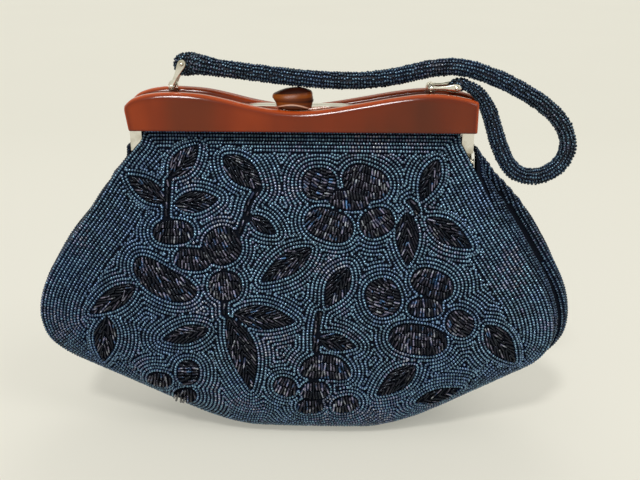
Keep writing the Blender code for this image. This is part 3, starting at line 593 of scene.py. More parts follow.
@dataclass(frozen=True)
class NavyCloth(Finish):
    """Dark cloth that the beads are sewn to, with a fine plain weave."""

    name: str = "navy_cloth"
    dark: tuple = linear(5, 9, 20)
    pale: tuple = linear(12, 19, 34)
    threads_per_metre: float = 2600.0

    def paint(self, shader: Shader) -> None:
        """Lays the finish's nodes."""
        weave = shader.node(
            "ShaderNodeTexWave",
            {"Vector": shader.object_place(), "Scale": self.threads_per_metre / 2, "Distortion": 1.5},
            bands_direction="Z",
        ).outputs["Fac"]
        shader.set(Base_Color=shader.mix(weave, self.dark, self.pale))
        shader.bump(weave, 0.1 * MM, 0.6)
        shader.set(Roughness=0.9, Specular_IOR_Level=0.1)


@dataclass(frozen=True)
class LiningSatin(Finish):
    """Smooth navy satin with fine threads and a soft sheen; its colour is darker in the creases' hollows and
    paler on their ridges, as painted shade and sheen.
    """

    name: str = "lining_satin"
    dark: tuple = linear(22, 30, 58)
    pale: tuple = linear(44, 56, 96)
    crease_scale: float = 55.0
    crease_depth: float = 0.8 * MM
    threads_per_metre: float = 2400.0
    thread_share: float = 0.05

    def paint(self, shader: Shader) -> None:
        """Lays the finish's nodes."""
        creases = shader.noise(self.crease_scale, 4.0, (1.6, 1.0, 0.5))
        # Painted shade and sheen: the colour follows the creases' bump
        shader.set(Base_Color=shader.mix(creases, self.dark, self.pale))
        threads = shader.noise(self.threads_per_metre, 1.0, (1.0, 1.0, 0.05))
        height = shader.combine(creases, shader.range(threads, 0.0, self.thread_share))
        shader.bump(height, self.crease_depth, 0.5)
        shader.set(Roughness=0.38, Sheen_Weight=0.5, Sheen_Roughness=0.3, Specular_IOR_Level=0.6)


@dataclass(frozen=True)
class Tortoiseshell(Finish):
    """Polished amber and brown plastic, darker towards its right end. Along its top edge and ends it turns
    amber, partly its clearer plastic and partly a painted glow of light through it, over painted shade on the
    rounding below; painted shade also darkens its lower edge.
    """

    name: str = "tortoiseshell"
    amber: tuple = linear(196, 78, 20)
    # Colour of the painted shade on the rounding below the top edge
    shoulder: tuple = linear(104, 30, 6)
    # Colour of the painted shade along the lower edge
    foot: tuple = linear(84, 14, 10)
    rust: tuple = linear(128, 46, 10)
    brown: tuple = linear(104, 44, 16)
    umber: tuple = linear(66, 32, 18)
    patch_scale: float = 24.0
    darker_from: float = 0.015
    darker_to: float = 0.06
    right_darkness: float = 0.45

    def paint(self, shader: Shader) -> None:
        """Lays the finish's nodes."""
        patches = shader.noise(self.patch_scale, 2.5, (1.0, 1.0, 0.45))
        stops = ((0.32, self.umber), (0.44, self.brown), (0.54, self.rust), (0.8, self.amber))
        body = shader.mix(0.35, shader.ramp(patches, stops), self.rust)
        across = shader.object_axis("X")
        darkness = shader.range(across, 0.0, self.right_darkness, self.darker_from, self.darker_to)
        body = shader.mix(darkness, body, self.umber)
        # Painted shade: a darker band on the rounding just below the top edge
        shoulder = shader.range(shader.attribute("rim"), 0.0, 0.55, 0.08, 0.34)
        body = shader.mix(shoulder, body, self.shoulder)
        # Amber rim along the top edge and the ends: partly the clearer plastic, partly a painted glow of
        # light through it
        rim = shader.range(shader.attribute("rim"), 0.0, 0.9, 0.4, 0.9)
        body = shader.mix(rim, body, self.amber)
        # Painted shade: darker along the bar's lower edge, where it meets the cloth
        foot = shader.range(shader.attribute("foot"), 0.0, 0.75, 0.2, 0.8)
        shader.set(Base_Color=shader.mix(foot, body, self.foot))
        shader.set(Roughness=shader.range(shader.noise(260.0, 2.0), 0.1, 0.18))
        shader.set(IOR=1.5, Specular_IOR_Level=0.28)


@dataclass(frozen=True)
class KnobPlastic(Finish):
    """Dark brown plastic with amber streaks across it, its top darkened as painted shade and reflection of
    the rope above, and a painted highlight along an arched line above its front lip, with painted shadow
    below.
    """

    name: str = "knob_plastic"
    dark: tuple = linear(44, 14, 5)
    brown: tuple = linear(98, 42, 4)
    amber: tuple = linear(136, 68, 10)
    # Colour of the painted highlight along the arched line
    line: tuple = linear(222, 176, 150)
    streak_scale: float = 150.0

    def paint(self, shader: Shader) -> None:
        """Lays the finish's nodes."""
        streaks = shader.noise(self.streak_scale, 2.0, (0.12, 0.12, 2.4))
        body = shader.ramp(streaks, ((0.36, self.dark), (0.52, self.brown), (0.68, self.amber)))
        # Painted shade and reflection of the rope above: the knob's top is darkened
        rim = shader.range(shader.attribute("rim"), 0.0, 0.9)
        body = shader.mix(rim, body, self.dark)
        above = shader.attribute("arch")
        # Painted shadow below the arched line, over the front lip
        body = shader.mix(shader.range(above, 0.75, 0.0, -0.5, -0.3), body, self.dark)
        # Painted highlight: a narrow band along the arched line
        highlight_rising = shader.range(above, 0.0, 0.75, -0.45, -0.15)
        highlight_falling = shader.range(above, 0.75, 0.0, 0.15, 0.45)
        near = shader.combine(highlight_rising, highlight_falling, "MINIMUM")
        shader.set(Base_Color=shader.mix(near, body, self.line))
        shader.set(Roughness=0.34, IOR=1.5, Specular_IOR_Level=0.12)


@dataclass(frozen=True)
class SilverPlate(Finish):
    """Pale, slightly warm silver plate with fine wear."""

    name: str = "silver_plate"
    bright: tuple = linear(226, 223, 214)
    worn: tuple = linear(178, 171, 154)
    base_roughness: float = 0.16

    def paint(self, shader: Shader) -> None:
        """Lays the finish's nodes."""
        wear = shader.noise(130.0, 4.0)
        shader.set(Base_Color=shader.mix(shader.range(wear, 0.0, 1.0, 0.45, 0.75), self.bright, self.worn))
        brushing = shader.noise(1500.0, 2.0, (0.08, 1.0, 1.0))
        shader.set(Roughness=shader.range(brushing, self.base_roughness - 0.06, self.base_roughness + 0.1))
        shader.bump(brushing, 0.02 * MM, 0.3)
        shader.set(Metallic=1.0)


@dataclass(frozen=True)
class WoundThread(Finish):
    """Dark thread wound closely, as on the rope's end loops."""

    name: str = "wound_thread"
    dark: tuple = linear(10, 12, 20)
    pale: tuple = linear(34, 40, 62)
    turns_per_metre: float = 2200.0

    def paint(self, shader: Shader) -> None:
        """Lays the finish's nodes."""
        inputs = {
            "Vector": shader.object_place(), "Scale": self.turns_per_metre / 2, "Distortion": 2.0,
            "Detail": 2.0,
        }
        turns = shader.node("ShaderNodeTexWave", inputs, bands_direction="DIAGONAL").outputs["Fac"]
        shader.set(Base_Color=shader.mix(turns, self.dark, self.pale))
        shader.bump(turns, 0.15 * MM, 0.8)
        shader.set(Roughness=0.6, Sheen_Weight=0.3)


@dataclass(frozen=True)
class PaleTable(Finish):
    """The plain pale surface that the bag stands on."""

    name: str = "pale_table"
    colour: tuple = linear(232, 229, 216)
    clouded: tuple = (0.6, 0.59, 0.54, 1.0)
    cloud_scale: float = 3.0
    cloud_share: float = 0.12
    shown_near: tuple = linear(250, 248, 234)
    shown_far: tuple = linear(230, 229, 211)
    nearest: float = -0.12
    farthest: float = 0.7
    shown_share: float = 0.32

    def paint(self, shader: Shader) -> None:
        """Lays the finish's nodes, which show a pale colour through a share of the shading, brighter near the
        front and darker further back as painted light.
        """
        clouds = shader.range(shader.noise(self.cloud_scale, 1.0), 0.0, self.cloud_share)
        shader.set(Base_Color=shader.mix(clouds, self.colour, self.clouded))
        shader.set(Roughness=0.9, Specular_IOR_Level=0.0)
        # Painted light: the shown colour grades from brighter near the front to darker further back
        away = shader.range(shader.object_axis("Y"), 0.0, 1.0, self.nearest, self.farthest)
        shown = shader.mix(away, self.shown_near, self.shown_far)
        plain = shader.node("ShaderNodeEmission", {"Color": shown, "Strength": 1.0}).outputs[0]
        share = shader.combine(seen_rays(shader.tree), self.shown_share, "MULTIPLY")
        mix = shader.node("ShaderNodeMixShader", {0: share, 1: shader.surface.outputs[0], 2: plain})
        fill_inputs(shader.tree, shader.tree.nodes["Material Output"], {"Surface": mix.outputs[0]})


def seen_rays(tree: bpy.types.NodeTree) -> Socket:
    """A value that is one for the rays of the camera, of reflections and through glass."""
    path = add_node(tree, "ShaderNodeLightPath").outputs
    seen = path["Is Camera Ray"]
    for kind in ("Is Glossy Ray", "Is Transmission Ray"):
        seen = add_node(tree, "ShaderNodeMath", {0: seen, 1: path[kind]}, operation="MAXIMUM").outputs[0]
    return seen


# The camera and the bag's shape


@dataclass(frozen=True)
class PhotoCamera:
    """The photograph's camera, fitted to the frame."""

    place: tuple[float, float, float] = (0.02345, -0.434, 0.2683)
    pitch: float = math.radians(20.5)
    yaw: float = math.radians(2.0)
    field_of_view: float = math.radians(41.0)
    image: tuple[int, int] = (640, 480)
    sensor_mm: float = 36.0

    def axes(self) -> tuple[np.ndarray, np.ndarray, np.ndarray]:
        """Returns the directions forward, right and up."""
        forward = np.array([
            -math.sin(self.yaw) * math.cos(self.pitch), math.cos(self.yaw) * math.cos(self.pitch),
            -math.sin(self.pitch),
        ])
        right = np.array([math.cos(self.yaw), math.sin(self.yaw), 0.0])
        return forward, right, np.cross(right, forward)

    def project(self, points: np.ndarray) -> np.ndarray:
        """Finds the pixels that points fall on.

        Args:
            points: Points in the frame's coordinates.

        Returns:
            Their pixels, across and down.
        """
        forward, right, up = self.axes()
        rays = points - np.array(self.place)
        depth = rays @ forward
        focal = self.image[0] / 2 / math.tan(self.field_of_view / 2)
        across = self.image[0] / 2 + focal * (rays @ right) / depth
        down = self.image[1] / 2 - focal * (rays @ up) / depth
        return np.stack([across, down], axis=-1)

    def make(self) -> None:
        """Adds the camera to the scene."""
        forward, right, up = self.axes()
        data = bpy.data.cameras.new("photo_camera")
        data.sensor_width = self.sensor_mm
        data.lens = self.sensor_mm / 2 / math.tan(self.field_of_view / 2)
        obj = bpy.data.objects.new("photo_camera", data)
        bpy.context.scene.collection.objects.link(obj)
        turn = Matrix((right, up, -forward)).transposed().to_4x4()
        obj.matrix_world = Matrix.Translation(self.place) @ turn
        bpy.context.scene.camera = obj


@dataclass
class BagShape:
    """The bag's closed form: outer faces of its panels and gussets."""

    shift: float
    height: float = 0.168
    half_width: float = 0.139
    half_depth: float = 0.0325
    top_half_width: float = 0.0818
    shoulder_half_width: float = 0.09174
    exit_drop: float = 0.0008
    tuck: float = 0.003
    lean: float = 0.0055
    base_half_length: float = 0.030
    base_rise_power: float = 1.5
    crown_power: float = 2.4
    base_round_power: float = 3.0
    seam_gap: float = 0.0001
    strip_share: float = 0.10
    gusset_setback: float = 0.0021
    gusset_top_slack: float = 0.0006
    gusset_tuck: float = 0.0022
    tuck_power: float = 6.0

    def __post_init__(self) -> None:
        """Lays out the side edge by shares of its length."""
        drops = np.linspace(SIDE_SHARES[0][0], SIDE_SHARES[-1][0], 4 * len(SIDE_SHARES))
        shoulder = read_table(SIDE_SHARES, drops, 1) * (self.shoulder_half_width - self.top_half_width)
        spread = read_table(SIDE_SHARES, drops, 2) * (self.half_width - self.shoulder_half_width)
        self.widths = self.top_half_width + shoulder + spread
        self.leans = read_table(SIDE_SHARES, drops, 3) * self.lean
        self.heights = (self.height - self.exit_drop) * (1 - drops)
        steps = np.hypot(np.diff(self.widths), np.diff(self.heights))
        lengths = np.concatenate([[0], np.cumsum(steps)])
        self.places = lengths / lengths[-1]

    def side_point(self, v: np.ndarray, side: int) -> np.ndarray:
        """The side edge at shares v of its length, as X and Z."""
        width = np.interp(v, self.places, self.widths)
        lean = np.interp(v, self.places, self.leans)
        return np.stack([side * width + lean, np.interp(v, self.places, self.heights)], axis=-1)

    def base_point(self, across: np.ndarray) -> np.ndarray:
        """The lower edge from its left (-1) to its right (1) corner, as X and Z."""
        corner = self.side_point(np.array(1.0), 1)
        half_width = corner[0] - self.lean
        free = np.maximum(np.abs(across) * half_width - self.base_half_length, 0)
        rise = corner[1] * (free / (half_width - self.base_half_length)) ** self.base_rise_power
        return np.stack([across * half_width + self.lean, rise], axis=-1)

    def front_point(self, across: np.ndarray, v: np.ndarray) -> np.ndarray:
        """A panel's point seen from the front, by a patch between its four edges."""
        u = ((across + 1) / 2)[..., None]
        w = v[..., None]
        exit_height = np.full_like(across, self.height - self.exit_drop)
        top = np.stack([across * self.top_half_width, exit_height], axis=-1)
        zero, one = np.array(0.0), np.array(1.0)
        corners = (
            (1 - u) * (1 - w) * self.side_point(zero, -1) + u * (1 - w) * self.side_point(zero, 1)
            + (1 - u) * w * self.base_point(-one) + u * w * self.base_point(one)
        )
        sides = (1 - u) * self.side_point(v, -1) + u * self.side_point(v, 1)
        return (1 - w) * top + w * self.base_point(across) + sides - corners

    def depth_at(self, across: np.ndarray, v: np.ndarray) -> np.ndarray:
        """How far a panel's outer face lies from the middle plane."""
        middle = read_table(DEPTH_SHARES, v, 1) * self.half_depth
        edge = read_table(DEPTH_SHARES, v, 2) * self.half_depth
        flat = edge + (middle - edge) * (1 - np.abs(across) ** self.crown_power)
        round_base = edge + (middle - edge) * (1 - np.abs(across) ** self.base_round_power)
        return flat + (round_base - flat) * v**4

    def panel(self, across: np.ndarray, v: np.ndarray, face: Face) -> np.ndarray:
        """Points of a panel's outer face.

        Args:
            across: Places from the left edge (-1) to the right one (1).
            v: Places from the frame (0) to the base's edge (1), and on to the seam under the base.
            face: Which panel.

        Returns:
            Points in the frame's coordinates.
        """
        across = np.clip(np.asarray(across, float), -1, 1)
        v = np.clip(np.asarray(v, float), 0, 1 + self.strip_share)
        across, v = np.broadcast_arrays(across, v)
        wall = np.minimum(v, 1.0)
        flat = self.front_point(across, wall)
        depth = self.depth_at(across, wall)
        under = np.clip((v - 1) / self.strip_share, 0, 1)
        depth = depth + under * (self.seam_gap / 2 - depth)
        return np.stack([flat[..., 0] + self.shift, face.value * depth, flat[..., 1]], axis=-1)

    def panel_out(self, across: np.ndarray, v: np.ndarray, face: Face) -> np.ndarray:
        """Outward directions of a panel's face."""
        step = 0.004
        across, v = np.broadcast_arrays(np.asarray(across, float), np.asarray(v, float))
        along = self.panel(across + step, v, face) - self.panel(across - step, v, face)
        down = self.panel(across, v + step, face) - self.panel(across, v - step, face)
        return unit(np.cross(along, down) * face.value)

    def layer(self, across: np.ndarray, v: np.ndarray, face: Face, inset: float) -> np.ndarray:
        """Points that lie inset from a panel's outer face, square to it."""
        return self.panel(across, v, face) - inset * self.panel_out(across, v, face)

    def gusset(self, across: np.ndarray, v: np.ndarray, side: Side, bulge: float) -> np.ndarray:
        """Points of a gusset's outer face, from its front edge (-1) to its rear one (1)."""
        across, v = np.broadcast_arrays(np.asarray(across, float), np.asarray(v, float))
        edge = self.side_point(v, side.value)
        half = self.depth_at(np.full_like(v, side.value), v) - self.gusset_setback
        swell = bulge * read_table(GUSSET_BULGE_SHARES, v) * (1 - across**2)
        tucked = self.gusset_tuck * np.clip(v * 8 - 1, 0, 1) * np.abs(across) ** self.tuck_power
        least = self.shoulder_half_width - self.gusset_top_slack
        reach = np.maximum(side.value * edge[..., 0], least) - tucked
        x = side.value * (reach + swell) + self.shift
        return np.stack([x, across * half, edge[..., 1] + swell * v**2 / 2], axis=-1)


# Beads


@dataclass
class Beads:
    """Places, directions, sizes and shades of some beads."""

    centres: np.ndarray
    along: np.ndarray
    outward: np.ndarray
    sizes: np.ndarray
    shades: np.ndarray

    def part(self, chosen: np.ndarray) -> Beads:
        """Returns some of the beads."""
        return Beads(*(values[chosen] for values in vars(self).values()))

    @classmethod
    def varied(
        cls, places: Sequence[np.ndarray], size: np.ndarray, spread: tuple[float, float],
        shades: tuple[float, float],
    ) -> Beads:
        """Makes beads that differ in size and shade.

        Args:
            places: Their centres, directions along their rows and outward directions.
            size: A bead's mean length and widths, or those of each bead.
            spread: The smallest and the largest share of that size.
            shades: The darkest and the palest shade.

        Returns:
            The beads.
        """
        count = len(places[0])
        return cls(*places, size * RANDOM.uniform(*spread, (count, 3)), RANDOM.uniform(*shades, count))


@dataclass(frozen=True)
class BeadForm:
    """A unit bead's profile along X: shares of its half length and of its half width."""

    name: str
    profile_shares: tuple[tuple[float, float], ...]
    sides: int = 6
    # Where the mask of the painted highlight starts up the bead, and how fast it rises
    highlight_mask_from: float = 0.62
    highlight_mask_height: float = 0.2

    def make(self) -> Piece:
        """Builds the unit bead as an object that stays out of the scene."""
        _, across, up = np.eye(3)
        rings = [
            ring_round(np.array([along / 2, 0, 0]), up, across, radius / 2, self.sides)
            for along, radius in self.profile_shares
        ]
        obj = closed_tube(self.name, np.array(rings), bpy.data.materials.new(self.name))
        obj.data.attributes.remove(obj.data.attributes["sharp_edge"])
        # Mask of the bead's top ridge, where the glass paints a highlight
        heights = np.array([vertex.co.z for vertex in obj.data.vertices]) * 2
        store(obj.data, "crown", np.clip((heights - self.highlight_mask_from) / self.highlight_mask_height, 0, 1))
        bpy.context.scene.collection.objects.unlink(obj)
        return obj


SEED_FORM = BeadForm("seed_form", ((-1.0, 0.56), (-0.46, 1.0), (0.46, 1.0), (1.0, 0.56)))
BUGLE_FORM = BeadForm("bugle_form", ((-1.0, 0.7), (-0.86, 1.0), (0.86, 1.0), (1.0, 0.7)))


class BeadStringer:
    """Sews beads on with a Geometry Nodes tree that sets one bead on each point."""

    TILT = math.radians(7)

    def __init__(self) -> None:
        """Builds the tree with its named inputs."""
        self.tree = bpy.data.node_groups.new("string_beads", "GeometryNodeTree")
        kinds = {
            "Geometry": "Geometry", "Bead": "Object", "Glass": "Material", "Tilt": "Float", "Seed": "Int",
        }
        for name, kind in kinds.items():
            self.tree.interface.new_socket(name, in_out="INPUT", socket_type=f"NodeSocket{kind}")
        self.tree.interface.new_socket("Geometry", in_out="OUTPUT", socket_type="NodeSocketGeometry")
        start = self.node("NodeGroupInput").outputs
        turn = self.node("FunctionNodeAlignRotationToVector", {"Vector": self.stored("row")}, axis="X")
        inputs = {"Rotation": turn.outputs[0], "Vector": self.stored("out")}
        turn = self.node("FunctionNodeAlignRotationToVector", inputs, axis="Z", pivot_axis="X")
        least = self.node("ShaderNodeMath", {0: start["Tilt"], 1: -1.0}, operation="MULTIPLY")
        inputs = {"Min": least.outputs[0], "Max": start["Tilt"], "Seed": start["Seed"]}
        wobble = self.node("FunctionNodeRandomValue", inputs, data_type="FLOAT_VECTOR")
        inputs = {"Rotation": turn.outputs[0], "Rotate By": wobble.outputs[0]}
        turn = self.node("FunctionNodeRotateRotation", inputs, rotation_space="LOCAL")
        bead = self.node("GeometryNodeObjectInfo", {"Object": start["Bead"]})
        inputs = {
            "Points": start["Geometry"], "Instance": bead.outputs["Geometry"], "Rotation": turn.outputs[0],
            "Scale": self.stored("size"),
        }
        place = self.node("GeometryNodeInstanceOnPoints", inputs)
        real = self.node("GeometryNodeRealizeInstances", {0: place.outputs[0]})
        inputs = {"Geometry": real.outputs[0], "Material": start["Glass"]}
        self.node("NodeGroupOutput", {0: self.node("GeometryNodeSetMaterial", inputs).outputs[0]})

    def node(self, kind: str, inputs: dict | None = None, **options: object) -> bpy.types.Node:
        """Adds a node to the tree, as add_node does."""
        return add_node(self.tree, kind, inputs, **options)

    def stored(self, name: str) -> Socket:
        """A vector stored on the points."""
        node = self.node("GeometryNodeInputNamedAttribute", {"Name": name}, data_type="FLOAT_VECTOR")
        return node.outputs["Attribute"]

    def sew(self, name: str, beads: Beads, form: Piece, glass: Material) -> Piece:
        """Makes one piece of all the beads.

        Args:
            name: The piece's name.
            beads: The beads' places, directions, sizes and shades.
            form: The unit bead.
            glass: The beads' material.

        Returns:
            The piece, a plain mesh with each bead's shade.
        """
        points = bpy.data.meshes.new(f"{name}_points")
        points.from_pydata([tuple(c) for c in beads.centres], [], [])
        for key, values in (("row", beads.along), ("out", beads.outward), ("size", beads.sizes)):
            store(points, key, values, "FLOAT_VECTOR")
        store(points, "shade", beads.shades)
        holder = bpy.data.objects.new(f"{name}_points", points)
        bpy.context.scene.collection.objects.link(holder)
        modifier = holder.modifiers.new("beads", "NODES")
        modifier.node_group = self.tree
        settings = {"Bead": form, "Glass": glass, "Tilt": self.TILT, "Seed": len(beads.centres)}
        for item in self.tree.interface.items_tree:
            if item.name in settings:
                modifier[item.identifier] = settings[item.name]
        bpy.context.view_layer.update()
        evaluated = holder.evaluated_get(bpy.context.evaluated_depsgraph_get())
        mesh = bpy.data.meshes.new_from_object(evaluated)
        bpy.data.objects.remove(holder)
        for key in ("row", "out", "size"):
            if key in mesh.attributes:
                mesh.attributes.remove(mesh.attributes[key])
        mesh.name = name
        mesh.materials.clear()
        mesh.materials.append(glass)
        obj = bpy.data.objects.new(name, mesh)
        bpy.context.scene.collection.objects.link(obj)
        LOG.info("%s: %d beads", name, len(beads.centres))
        return obj


# Embroidery: motifs drawn in the photograph's pixels


@dataclass(frozen=True)
class Motif:
    """One shape of bugle beads: its axis from start to end, its width and its axis' bend, in pixels."""

    kind: MotifKind
    start: tuple[float, float]
    end: tuple[float, float]
    width: float
    bend: float = 0.0
    hatch: float | None = None

    LEAF_ANGLE = math.radians(21)
    PETAL_FAN = math.radians(20)
    STRAY_ANGLE = math.radians(6)
    POINTS = 26

    def frame(self) -> tuple[np.ndarray, np.ndarray, np.ndarray, float]:
        """Returns the start, the directions along and across, and the length."""
        start, end = np.array(self.start, float), np.array(self.end, float)
        length = float(np.linalg.norm(end - start))
        along = (end - start) / length
        return start, along, np.array([-along[1], along[0]]), length

    def axis_points(self, t: np.ndarray) -> np.ndarray:
        """Points on the axis at shares t of its length."""
        start, along, across, length = self.frame()
        return start + np.outer(t * length, along) + np.outer(4 * self.bend * t * (1 - t), across)

    def half_widths(self, t: np.ndarray) -> np.ndarray:
        """Half widths at shares t of the length."""
        if self.kind is MotifKind.LEAF:
            return self.width / 2 * np.sin(math.pi * t**0.85) ** 0.9
        if self.kind is MotifKind.PETAL:
            return self.width / 2 * (1 - np.abs(2 * t - 1) ** 2.5) ** (1 / 2.2)
        return np.full_like(t, self.width / 2)

    def edge(self, sign: int) -> np.ndarray:
        """One edge of the outline, from the start to the end."""
        t = (1 - np.cos(np.linspace(0, math.pi, self.POINTS))) / 2
        across = self.frame()[2]
        return self.axis_points(t) + np.outer(sign * self.half_widths(t), across)

    def outline(self) -> np.ndarray:
        """The whole outline as a closed polygon."""
        return np.concatenate([self.edge(1), self.edge(-1)[::-1]])

    def bugle_lines(self, spacing: float, longest: float) -> list[tuple[np.ndarray, np.ndarray]]:
        """Lays bugle beads side by side inside the outline, each a little out of line.

        Args:
            spacing: Pixels between neighbouring beads.
            longest: The longest bead in pixels.

        Returns:
            The two ends of each bead.
        """
        start, along, _, length = self.frame()
        heading = math.atan2(along[1], along[0])
        fan = 0.0
        if self.kind is MotifKind.LEAF:
            t = (1 - np.cos(np.linspace(0, math.pi, self.POINTS))) / 2
            vein = self.axis_points(t)
            lines = []
            for sign in (1, -1):
                half = np.concatenate([self.edge(sign), vein[::-1]])
                lines += hatch_polygon(half, heading + sign * self.LEAF_ANGLE, spacing, longest)
        elif self.kind is MotifKind.STEM:
            lines = hatch_polygon(self.outline(), heading, spacing, longest)
        else:
            turn = math.radians(self.hatch) if self.hatch is not None else heading + math.pi / 2
            lines = hatch_polygon(self.outline(), turn, spacing, longest)
            fan = self.PETAL_FAN
        placed = []
        for first, last in lines:
            middle, half = (first + last) / 2, (last - first) / 2
            place = ((middle - start) @ along / length - 0.5) * 2
            turn = RANDOM.normal(0, self.STRAY_ANGLE) - fan * place
            turned = np.array([
                half[0] * math.cos(turn) - half[1] * math.sin(turn),
                half[0] * math.sin(turn) + half[1] * math.cos(turn),
            ])
            turned = turned * RANDOM.uniform(0.86, 1.08)
            placed.append((middle - turned, middle + turned))
        return placed


def hatch_polygon(
    polygon: np.ndarray, angle: float, spacing: float, longest: float
) -> list[tuple[np.ndarray, np.ndarray]]:
    """Fills a polygon with parallel beads.

    Args:
        polygon: Its corners.
        angle: The beads' direction.
        spacing: Distance between neighbouring lines of beads.
        longest: The longest bead.

    Returns:
        The two ends of each bead.
    """
    along = np.array([math.cos(angle), math.sin(angle)])
    across = np.array([-along[1], along[0]])
    heights = polygon @ across
    following = np.roll(polygon, -1, axis=0)
    next_heights = following @ across
    span = heights.max() - heights.min()
    count = max(int(span / spacing), 1)
    lines = []
    for k in range(count):
        level = heights.min() + span * (k + 0.5) / count
        hits = np.nonzero((heights <= level) != (next_heights <= level))[0]
        share = (level - heights[hits]) / (next_heights[hits] - heights[hits])
        places = np.sort((polygon[hits] + share[:, None] * (following[hits] - polygon[hits])) @ along)
        for low, high in zip(places[::2], places[1::2]):
            low, high = low + spacing * 0.15, high - spacing * 0.15
            if high - low < spacing * 0.8:
                continue
            pieces = max(round((high - low) / longest), 1)
            stops = np.linspace(low, high, pieces + 1)
            for a, b in zip(stops, stops[1:]):
                lines.append((a * along + level * across, b * along + level * across))
    return lines


def leaf(x0: float, y0: float, x1: float, y1: float, width: float, bend: float = 0.0) -> Motif:
    """A leaf from its stalk's end to its tip."""
    return Motif(MotifKind.LEAF, (x0, y0), (x1, y1), width, bend)


def petal(
    x: float, y: float, length: float, width: float, tilt: float = 0.0, hatch: float | None = None,
    bend: float = 0.0,
) -> Motif:
    """A petal round its centre, its length turned down to the right by tilt degrees."""
    turn = math.radians(tilt)
    along, down = math.cos(turn) * length / 2, math.sin(turn) * length / 2
    return Motif(MotifKind.PETAL, (x - along, y - down), (x + along, y + down), width, bend, hatch)


def stem(x0: float, y0: float, x1: float, y1: float, bend: float = 0.0) -> Motif:
    """A stalk of two lines of bugle beads."""
    return Motif(MotifKind.STEM, (x0, y0), (x1, y1), 5.0, bend)


LEAVES = (
    leaf(170, 176, 198, 145, 21), leaf(165, 202, 127, 176, 19), leaf(175, 204, 218, 199, 21),
    leaf(224, 156, 262, 189, 25), leaf(249.5, 217, 276, 234, 14), leaf(234, 314, 295, 322, 23),
    leaf(228, 318, 251, 391, 26, -4), leaf(208, 330, 162.5, 340, 17), leaf(135, 286, 89, 314, 20),
    leaf(107, 318, 103, 362, 22), leaf(311, 249, 261, 282, 21), leaf(438, 160, 421, 201, 18),
    leaf(407, 213, 408, 266, 22), leaf(426.5, 219, 472, 248, 22), leaf(348, 268, 326, 308, 22),
    leaf(317, 338, 356, 347.5, 16), leaf(486, 326, 515.5, 363, 24), leaf(416, 367, 377, 396, 20),
    leaf(416, 403, 461, 389, 12),
)
PETALS = (
    petal(173, 232, 40, 24, 0, 90), petal(222, 246, 38, 36, 60, 60), petal(165, 278, 70, 29, 30, 62, 5),
    petal(192, 259.5, 36, 22, 5, 80), petal(225, 286, 32, 29, 0, 84),
    petal(319, 184, 34, 31, 0, 20), petal(366, 182, 47, 32, 22, 100), petal(349, 200, 39, 20, 6, 84),
    petal(329, 225, 49, 31, 20, 112), petal(377, 222.5, 34, 28, -25, 60),
    petal(432.5, 284, 43, 28, 22, 105), petal(383, 298, 38, 34, 70, 20), petal(425, 308, 34, 20, 0, 90),
    petal(460, 324, 28, 25, 30, 40), petal(418, 340, 58, 30, 8, 92),
    petal(325, 372, 50, 24, 4, 90, -5), petal(315, 391, 28, 18, 0, 90), petal(285, 387, 23, 18, 20, 110),
    petal(310, 407, 26, 14, 0, 90), petal(345, 405, 26, 16, -12, 78),
    petal(159.5, 380, 24, 14, 8, 96), petal(188, 373, 24, 22, 90, 0), petal(185, 396, 22, 14, 0, 90),
)
STEMS = (
    stem(168, 179, 166, 217), stem(258, 191, 246, 216, 3), stem(244, 219, 239, 234), stem(224, 303, 224, 316),
    stem(320, 312, 316, 352, 2), stem(408, 200, 418, 214, -2),
)
MOTIFS = LEAVES + PETALS + STEMS


